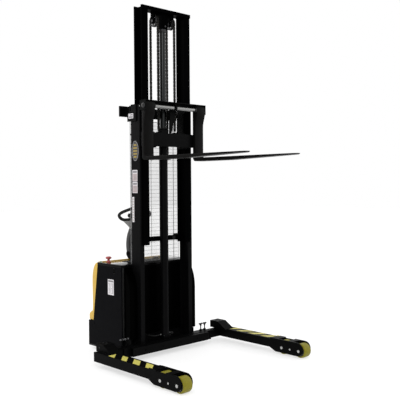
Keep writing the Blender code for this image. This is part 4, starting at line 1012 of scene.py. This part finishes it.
def rear_cover():
    half = size("rear_cover").x / 2
    steps = [(1.0, 0.016), (0.9975, 0.0105), (0.993, 0.0062), (0.986, 0.003), (0.976, 0.001), (0.962, 0.0)]
    stations = [(-f, i) for f, i in steps] + [(-0.6, 0.0), (-0.2, 0.0), (0.2, 0.0), (0.6, 0.0)]
    stations += [(f, i) for f, i in reversed(steps)]
    rings = [[P(f * half, y, z) for y, z in cover_section(inset)] for f, inset in stations]
    skin(rings)
    piece("rear_cover_detail", YELLOW, "chassis", "rear_cover", angle=40)
    block((-0.386, 0.386), (0.4855, 0.496), (0.778, 0.7915))
    piece("rear_cover_bead", YELLOW, bevel=0.0025, segments=3)
    # louvres on the bulge, as raised mouldings
    face, pitch = BACK - 0.052, 0.022
    slats = [(side * 0.235, 0.43 + i * pitch) for side in (-1, 1) for i in range(7)]
    hood = [(-0.003, 0), (0.0065, -0.0035), (0.007, -0.001), (0.001, 0.0085), (-0.003, 0.0085)]
    for x, z in slats:
        prism([(face + y, z + rise) for y, rise in hood], x - 0.075, x + 0.075)
    piece("rear_cover_louvres", YELLOW, bevel=0.0012)
    # Black strips under the louvre hoods: painted shade for the shadow beneath each hood
    for x, z in slats:
        block((x - 0.071, x + 0.071), (face - 0.003, face + 0.0012), (z - 0.0055, z - 0.002))
    piece("rear_cover_louvre_painted_shade", BLACK_PLASTIC)
    block((-0.37, 0.37), (BACK - 0.004, BACK + 0.0025), (0.266, 0.29))
    piece("rear_bumper_strip", RUBBER, bevel=0.003, segments=3)
    for x in (-0.35, 0.35):
        for z in (0.395, 0.62):
            lathe([(0, 0.002), (0.006, 0.0016), (0.0085, 0.0004), (0.0085, -0.003), (0, -0.003)],
                P(x, face + 0.0005, z), (0, 1, 0), 28)
    piece("rear_cover_screws", STEEL)


def side_panel_details():
    for _, side in SIDES:
        for y, z in ((0.155, 0.11), (0.155, 0.735), (0.47, 0.735), (0.6, 0.11), (0.155, 0.42),
                (0.545, 0.235)):
            lathe([(0, 0.0018), (0.005, 0.0015), (0.007, 0.0004), (0.007, -0.001), (0, -0.001)],
                P(side * PANEL_FACE, y, z), (side, 0, 0), 24)
    piece("side_panel_screws", PANEL_BLACK)
    for _, side in SIDES:
        rim = [(0.229, 0.709), (0.249, 0.709), (0.249, 0.751), (0.229, 0.751)]
        for (y0, z0), (y1, z1) in zip(rim, rim[1:] + rim[:1]):
            hose([P(side * (PANEL_FACE + 0.0004), y0, z0), P(side * (PANEL_FACE + 0.0004), y1, z1)], 0.0012,
                8)
        block((side * PANEL_FACE, side * (PANEL_FACE + 0.001)), (0.14, 0.625), (0.029, 0.042))
    piece("side_panel_trim", BLACK_PLASTIC)
    block((-0.3, 0.3), (0.6298, 0.6306), (0.06, 0.225))
    for x in (-0.28, 0.28):
        for z in (0.075, 0.21):
            bolt(P(x, 0.6304, z), (0, 1, 0), 0.005, 0.002, washer=False)
    piece("rear_service_panel", PANEL_BLACK, bevel=0.0004)


front_cover()
lid()
rear_cover()
side_panel_details()


# ---- controls on the lid ------------------------------------------------------------------------
def estop():
    centre = middle("estop_button")
    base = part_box("estop_base")[0][2]
    at = (centre.x, centre.y, 0)
    lathe([(0.0108, base + 0.0168), (0.0152, base + 0.0168), (0.0165, base + 0.0152), (0.019, base + 0.001),
        (0.019, base), (0.0108, base)], at, UPWARD, 40)
    piece("estop_collar", RED, "chassis", "estop_base", angle=30)
    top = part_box("estop_button")[1][2]
    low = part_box("estop_button")[0][2]
    mushroom = [(0, top), (0.0095, top - 0.0003), (0.018, top - 0.0018), (0.0232, top - 0.0048),
        (0.026, top - 0.0092), (0.0265, top - 0.013), (0.0256, top - 0.0175), (0.022, top - 0.0203),
        (0.013, top - 0.0232), (0.01, top - 0.028), (0.01, low), (0, low)]
    lathe(mushroom, at, UPWARD, 48)
    for a in map(radians, (20, 140, 260)):
        x, y, z = centre.x + 0.013 * cos(a), centre.y - Y0 + 0.013 * sin(a), top - 0.0008
        half = (0.003, 0.0009, 0.0008)
        block(*[(c - h, c + h) for c, h in zip((x, y, z), half)], turn=a + pi / 2)
    piece("estop_mushroom", RED, "estop", "estop_button", angle=35)


def key_and_gauge():
    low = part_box("key_switch")[0][2]
    at = middle("key_switch")
    base = Vector((at.x, at.y, low))
    lathe([(0, 0.0085), (0.007, 0.0085), (0.0085, 0.0078), (0.0115, 0.003), (0.012, 0.0), (0, 0.0)], base,
        UPWARD, 36)
    block((at.x - 0.0011, at.x + 0.0011), (at.y - Y0 - 0.0038, at.y - Y0 + 0.0038),
        (low + 0.004, low + 0.018))
    lathe([(0.003, -0.001), (0.0105, -0.001), (0.011, 0.0), (0.0105, 0.001), (0.003, 0.001)],
        base + Vector((0, 0, 0.0262)), (1, 0, 0), 32)
    piece("key_detail", STEEL, "key", "key_switch", angle=35)
    lo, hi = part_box("battery_gauge")
    cx, cy, top = (lo[0] + hi[0]) / 2, (lo[1] + hi[1]) / 2 - Y0, hi[2]
    block((lo[0], hi[0]), (lo[1] - Y0, hi[1] - Y0), (lo[2], top - 0.002))
    box_rim((lo[0], hi[0]), (lo[1] - Y0, hi[1] - Y0), (top - 0.004, top), 0.005)
    piece("gauge_case", BLACK_PLASTIC, "chassis", "battery_gauge", bevel=0.0008)
    block((lo[0] + 0.006, hi[0] - 0.006), (lo[1] - Y0 + 0.006, hi[1] - Y0 - 0.006),
        (top - 0.0021, top - 0.0014))
    piece("gauge_dial", GLASS_DIAL)
    for k in range(9):
        a = radians(30 + 15 * k)
        reaches = (0.013, 0.0175 if k % 4 == 0 else 0.0155)
        hose([P(cx + r * cos(a), cy - 0.009 + r * sin(a), top - 0.0012) for r in reaches], 0.0004, 6)
    hose([P(cx, cy - 0.009, top - 0.001), P(cx + 0.008, cy + 0.004, top - 0.001)], 0.0005, 6)
    piece("gauge_marks", BLACK_FILM)


estop()
key_and_gauge()


# ---- tiller -------------------------------------------------------------------------------------
LEAN = radians(14.5)
HINGE = (0.508, 0.835)


FACE = Vector((0, -cos(LEAN), -sin(LEAN)))
UP = Vector((0, -sin(LEAN), cos(LEAN)))


def on_head(x, along, out):
    """A point by its place across the head, up along it and out of its button face."""
    return P(x, 0.475, 1.11) + UP * along + FACE * out


def tiller_arm():
    """A smooth bowed arm on a round hub."""
    centre, radius = (0.267, 0.9143), 0.2536
    stations = []
    count = 22
    for i in range(count + 1):
        a = radians(-17.5 + (34.2 + 17.5) * i / count)
        swell = 0.0255 + 0.001 * sin(pi * i / count)
        outer = (centre[0] + (radius + swell) * cos(a), centre[1] + (radius + swell) * sin(a))
        inner = (centre[0] + (radius - swell) * cos(a), centre[1] + (radius - swell) * sin(a))
        stations.append((P(0, *outer), P(0, *inner), 0.0375))
    sweep(stations, 0.01)
    hub = [(0.0085, -0.0318), (0.024, -0.0318), (0.0268, -0.029), (0.0268, 0.029), (0.024, 0.0318),
        (0.0085, 0.0318)]
    lathe(hub, P(0, *HINGE), (1, 0, 0), 44)
    piece("tiller_arm_detail", ARM_GREY, "tiller", "tiller_arm", angle=55)


def tiller_head():
    rows = [(-0.04, -0.023, 0.022, 0.034), (-0.01, -0.029, 0.028, 0.042), (0.03, -0.031, 0.031, 0.0445),
        (0.08, -0.029, 0.03, 0.0445), (0.13, -0.026, 0.029, 0.0435), (0.175, -0.023, 0.027, 0.0405),
        (0.198, -0.02, 0.024, 0.0365), (0.207, -0.016, 0.019, 0.031), (0.2105, -0.009, 0.012, 0.022)]
    stations = [(on_head(0, -0.046, -0.018), on_head(0, -0.052, 0.012), 0.028)]
    stations += [(on_head(0, along, low), on_head(0, along, high), half) for along, low, high, half in rows]
    sweep(stations, 0.013)
    wings = [(-0.034, 0.036), (-0.03, 0.042), (-0.004, 0.075), (0.022, 0.11), (0.03, 0.12), (0.035, 0.122)]
    rings = []
    for out, inset in ((-0.0138, 0.005), (-0.012, 0.0015), (-0.007, 0), (0.007, 0), (0.012, 0.0015),
            (0.0138, 0.005)):
        edge = [(x - inset, along + inset * 0.5) for along, x in wings]
        rings.append([on_head(x, along, out) for x, along in edge + [(-x, along) for x,
            along in reversed(edge)]])
    skin(rings)
    piece("tiller_head_detail", GREY, "tiller", "tiller_head", angle=60)
    panel = [(0.052, 0.028), (0.06, 0.033), (0.15, 0.031), (0.16, 0.025)]
    outline = panel + [(a, -h) for a, h in reversed(panel)]
    rings = []
    for lift in (0.0255, 0.0318):
        rings.append([on_head(x, along, lift + (0.0005 if along < 0.1 else -0.001)) for along,
            x in outline])
    skin(rings)
    piece("head_button_panel", BLACK_PLASTIC, "tiller", bevel=0.0015)


def grip():
    half = [(0.0, 0.046), (0.07, 0.045), (0.12, 0.046), (0.155, 0.06), (0.178, 0.082), (0.177, 0.1),
        (0.15, 0.118), (0.075, 0.142), (0.0, 0.16)]
    points = [on_head(x, a, 0) for x, a in half] + [on_head(-x, a, 0) for x, a in half[-2:0:-1]]
    hose(curve_through(points, 8, loop=True), 0.0142, 28, loop=True)
    piece("grip_loop_detail", GRIP, "tiller", "grip_loop", angle=60)
    for side in (-1, 1):
        spots = curve_through([on_head(side * x, a, 0) for x, a in half], 8)
        for at in (18, 21, 24, 44, 47, 50):
            rib = [(0.0135, -0.0016), (0.015, -0.001), (0.015, 0.001), (0.0135, 0.0016)]
            lathe(rib, spots[at], spots[at + 1] - spots[at], 28)
    piece("grip_rings", RUBBER, "tiller")


def head_controls():
    length = 0.0258
    for side_name, side in SIDES:
        inner = on_head(side * 0.0462, 0.085, 0)
        hub = [(0, 0), (0.018, 0), (0.019, 0.0015), (0.019, length - 0.003), (0.0165, length - 0.0006),
            (0, length)]
        lathe(hub, inner, (side, 0, 0), 40)
        rows = [(0.012, 0.015), (0.024, 0.014), (0.036, 0.0115), (0.046, 0.0085), (0.052, 0.005)]
        x = side * 0.0592
        stations = [(on_head(x, 0.085 - h, out), on_head(x, 0.085 + h, out), 0.0118) for out, h in rows]
        sweep(stations, 0.005)
        piece(f"{side_name}_throttle_detail", BLACK_PLASTIC, f"{side_name}_throttle",
            f"{side_name}_throttle", angle=50)
    for node, body, x, look in (("lift_button", "lift_push", -0.02, GREEN),
            ("lower_button", "lower_push", 0.02, RED)):
        profile = [(0, 0.0095), (0.0045, 0.0093), (0.0068, 0.008), (0.0079, 0.005), (0.008, 0.0), (0, 0.0)]
        lathe(profile, on_head(x, 0.118, 0.0235), FACE, 32)
        piece(f"{node}_cap", look, body, node, angle=40)
    profile = [(0, 0.0195), (0.008, 0.019), (0.0125, 0.017), (0.015, 0.013), (0.0155, 0.008), (0.0155, 0),
        (0, 0)]
    lathe(profile, on_head(0, 0.2022, 0.001), UP, 40)
    piece("belly_cap", RED, "belly", "belly_button", angle=40)
    for x in (-0.02, 0.02):
        lathe([(0.0084, 0), (0.0112, 0), (0.0112, 0.0012), (0.01, 0.0022), (0.0084, 0.0022)],
            on_head(x, 0.118, 0.0305), FACE, 32)
    lathe([(0, 0.0012), (0.003, 0.0012), (0.0034, 0), (0, 0)], on_head(0, 0.142, 0.03), FACE, 20)
    piece("head_button_rings", STEEL, "tiller")


def column_details():
    for _, side in SIDES:
        bolt(P(side * 0.044, *HINGE), (side, 0, 0), 0.01, 0.0045, washer=False)
    piece("tiller_hinge_nuts", BLACK, "drive", bevel=0.0004)
    coils, coil_radius, rise = 10, 0.0095, 0.00016
    turns = [(i, c, s) for i, (c, s) in enumerate(circle(11) * coils)]
    hose([P(coil_radius * c, 0.445 + coil_radius * s, 0.8118 + rise * i) for i, c, s in turns], 0.0011, 6)
    piece("tiller_return_spring", STEEL, "drive")


tiller_arm()
tiller_head()
grip()
head_controls()
column_details()


# ---- under the covers ---------------------------------------------------------------------------
def drive_details():
    profile = [(0, 0.23), (0.074, 0.23)]
    for i in range(9):
        z = 0.252 + i * 0.018
        profile += [(0.0725, z - 0.004), (0.078, z - 0.003), (0.078, z + 0.003), (0.0725, z + 0.004)]
    profile += [(0.072, 0.43), (0.06, 0.445), (0.05, 0.455), (0.05, 0.478), (0, 0.478)]
    lathe(profile, P(0, DRIVE_Y, 0), UPWARD)
    piece("traction_motor_fins", CAST, "drive")
    for c, s in circle(16)[1::2]:
        bolt(P(0.1 * c, DRIVE_Y + 0.1 * s, 0.2322), UPWARD, 0.0055, 0.005)
    hub_x, hub_z = 0.078, 0.105
    for c, s in circle(6):
        bolt(P(hub_x, DRIVE_Y + 0.034 * c, hub_z + 0.034 * s), (1, 0, 0), 0.0045, 0.004)
    hub_cap = [(0, 0.005), (0.016, 0.005), (0.02, 0.002), (0.02, 0), (0, 0)]
    lathe(hub_cap, P(hub_x, DRIVE_Y, hub_z), (1, 0, 0), 32)
    piece("drive_unit_bolts", STEEL, "drive")
    for side_name, side in SIDES:
        for x in (-0.026, 0.026):
            bolt(P(side * 0.3 + x, 0.53, 0.05), (copysign(1, x), 0, 0), 0.006, 0.003, washer=False)
        lathe([(0.02, 0.132), (0.029, 0.132), (0.031, 0.1345), (0.029, 0.137), (0.02, 0.137)],
            P(side * 0.3, 0.5, 0), UPWARD, 36)
        piece(f"{side_name}_caster_bearing", STEEL, f"{side_name}_caster")


drive_details()


# ---- labels, all without lettering --------------------------------------------------------------
FILM_LIFTS = (0.0004, 0.0006, 0.0008)


def plate(x, ys, zs, layer, slot=None):
    """A thin film on a face that looks to -X; higher layers stand out a little more."""
    block((x, x - FILM_LIFTS[layer]), ys, zs, layer if slot is None else slot)


def oval(x, centre, radii, layer):
    ring = [(centre[0] + radii[0] * c, centre[1] + radii[1] * s) for c, s in circle(56)]
    prism(ring, x, x - FILM_LIFTS[layer], layer)


def labels():
    rail = -RAIL_FACE
    centre = (0.06, 1.762)
    oval(rail, centre, (0.043, 0.0845), 0)
    oval(rail, centre, (0.0412, 0.0827), 1)
    for i in range(5):
        z = centre[1] - 0.05 + i * 0.025
        reach = 0.027 * sqrt(max(0.1, 1 - ((z - centre[1]) / 0.072) ** 2))
        plate(rail, (centre[0] - reach, centre[0] + reach), (z - 0.0066, z + 0.0066), 2)
    piece("rail_badge", [WHITE_FILM, BLACK_FILM, GOLD_FILM])
    for low, high in ((1.404, 1.498), (1.503, 1.6)):
        plate(rail, (0.033, 0.101), (low, high), 0)
        plate(rail, (0.0365, 0.0975), (low + 0.004, high - 0.03), 1)
        plate(rail, (0.04, 0.094), (high - 0.024, high - 0.008), 1, 2)
        for i in range(5):
            z = low + 0.012 + i * 0.0105
            plate(rail, (0.042, 0.09 - 0.006 * (i % 3)), (z, z + 0.0035), 2)
    piece("rail_notice_pair", [WHITE_FILM, PINK_FILM, GREY_FILM])
    plate(rail, (0.08, 0.106), (1.155, 1.37), 0)
    for i in range(9):
        z = 1.166 + i * 0.0225
        plate(rail, (0.085, 0.101), (z, z + 0.01), 1)
    piece("rail_capacity_strip", [WHITE_FILM, TAN_FILM])
    panel = -PANEL_FACE
    plate(panel, (0.245, 0.331), (0.518, 0.653), 0)
    plate(panel, (0.251, 0.325), (0.63, 0.645), 1)
    for column in (0.252, 0.292):
        for i in range(9):
            z = 0.531 + i * 0.0103
            plate(panel, (column, column + 0.029 - 0.004 * ((i * 3) % 4)), (z, z + 0.0042), 1)
    piece("side_data_plate", [WHITE_FILM, GREY_FILM])
    plate(-0.3073, (0.07, 0.135), (2.04, 2.082), 0)
    plate(-0.3073, (0.076, 0.129), (2.045, 2.06), 1)
    plate(-0.3073, (0.076, 0.118), (2.066, 2.076), 1)
    piece("crossmember_tag", [WHITE_FILM, GREY_FILM])
    for x in (-0.1, 0.1):
        block((x - 0.05, x + 0.05), (BACK - 0.0518, BACK - 0.0508), (0.545, 0.6), 0)
        for i in range(4):
            z = 0.552 + i * 0.011
            block((x - 0.042, x + 0.034 - 0.006 * (i % 3)), (BACK - 0.0512, BACK - 0.0504), (z, z + 0.004),
                1)
    piece("rear_data_plates", [WHITE_FILM, GREY_FILM])


labels()


# ---- materials of the CAD nodes that stay -------------------------------------------------------
STAYING = ((BLACK,
    "base_frame front_beam outer_top_crossmember steering_column carriage_frame left_leg right_leg"),
    (SHADED_MAST_BLACK, "inner_top_beam inner_lower_bar left_inner_rail right_inner_rail"),
    (RAIL_BLACK, "left_outer_rail right_outer_rail"), (PANEL_BLACK, "side_housing"),
    (BLACK_PLASTIC, "battery"), (DARK_STEEL, "pump_unit"),
    (STEEL, "controller_box left_caster_fork right_caster_fork"), (CAST, "drive_unit"))
for material, nodes in STAYING:
    for node in nodes.split():
        for slot in NODES[node].material_slots:
            slot.material = material


# ---- studio -------------------------------------------------------------------------------------
def studio():
    bmesh.ops.create_grid(BENCH, x_segments=2, y_segments=2, size=30)
    floor = piece("studio_floor", floor_material(), None)
    floor.location.z = -0.0005

    world = bpy.data.worlds.new("studio")
    bpy.context.scene.world = world
    world.use_nodes = True
    tree = world.node_tree
    tree.nodes.clear()
    output = tree.nodes.new("ShaderNodeOutputWorld")
    backdrop = tree.nodes.new("ShaderNodeBackground")
    fill = tree.nodes.new("ShaderNodeBackground")
    choose = tree.nodes.new("ShaderNodeMixShader")
    rays = tree.nodes.new("ShaderNodeLightPath")
    for shader, strength in ((backdrop, 1.0), (fill, 1.05)):
        shader.inputs[0].default_value = (1, 1, 1, 1)
        shader.inputs[1].default_value = strength
    sources = (rays.outputs["Is Camera Ray"], fill.outputs[0], backdrop.outputs[0])
    for source, target in zip(sources, choose.inputs):
        tree.links.new(source, target)
    tree.links.new(choose.outputs[0], output.inputs[0])

    for name, place, extent, power in (("key_light", (-3.5, -3.2, 4.2), 2.5, 60),
            ("side_light", (4.2, -2.6, 3.0), 2.2, 30), ("rear_light", (-1.5, 4.0, 3.5), 2.5, 40)):
        data = bpy.data.lights.new(name, "AREA")
        data.size = extent
        data.energy = power
        lamp = bpy.data.objects.new(name, data)
        lamp.location = place
        lamp.rotation_euler = (Vector((0, 0, 1.1)) - Vector(place)).to_track_quat("-Z", "Y").to_euler()
        LOOKS.objects.link(lamp)


def camera():
    """Eye height on the left of the forks, looking in at the mast."""
    yaw, pitch, roll = radians(43.665), radians(-1.327), radians(-0.403)
    forward = Vector((sin(yaw) * cos(pitch), cos(yaw) * cos(pitch), sin(pitch)))
    right = Vector((cos(yaw), -sin(yaw), 0))
    up = right.cross(forward)
    across = right * cos(roll) + up * sin(roll)
    above = up * cos(roll) - right * sin(roll)
    data = bpy.data.cameras.new("camera")
    data.sensor_width = 36
    data.lens = 59.95
    data.clip_end = 60
    eye = bpy.data.objects.new("camera", data)
    turn = Matrix((across, above, -forward)).transposed().to_4x4()
    eye.matrix_world = Matrix.Translation(P(-3.821, -4.427, 1.472)) @ turn
    LOOKS.objects.link(eye)
    bpy.context.scene.camera = eye


studio()
camera()
bpy.context.scene.view_settings.view_transform = "Standard"
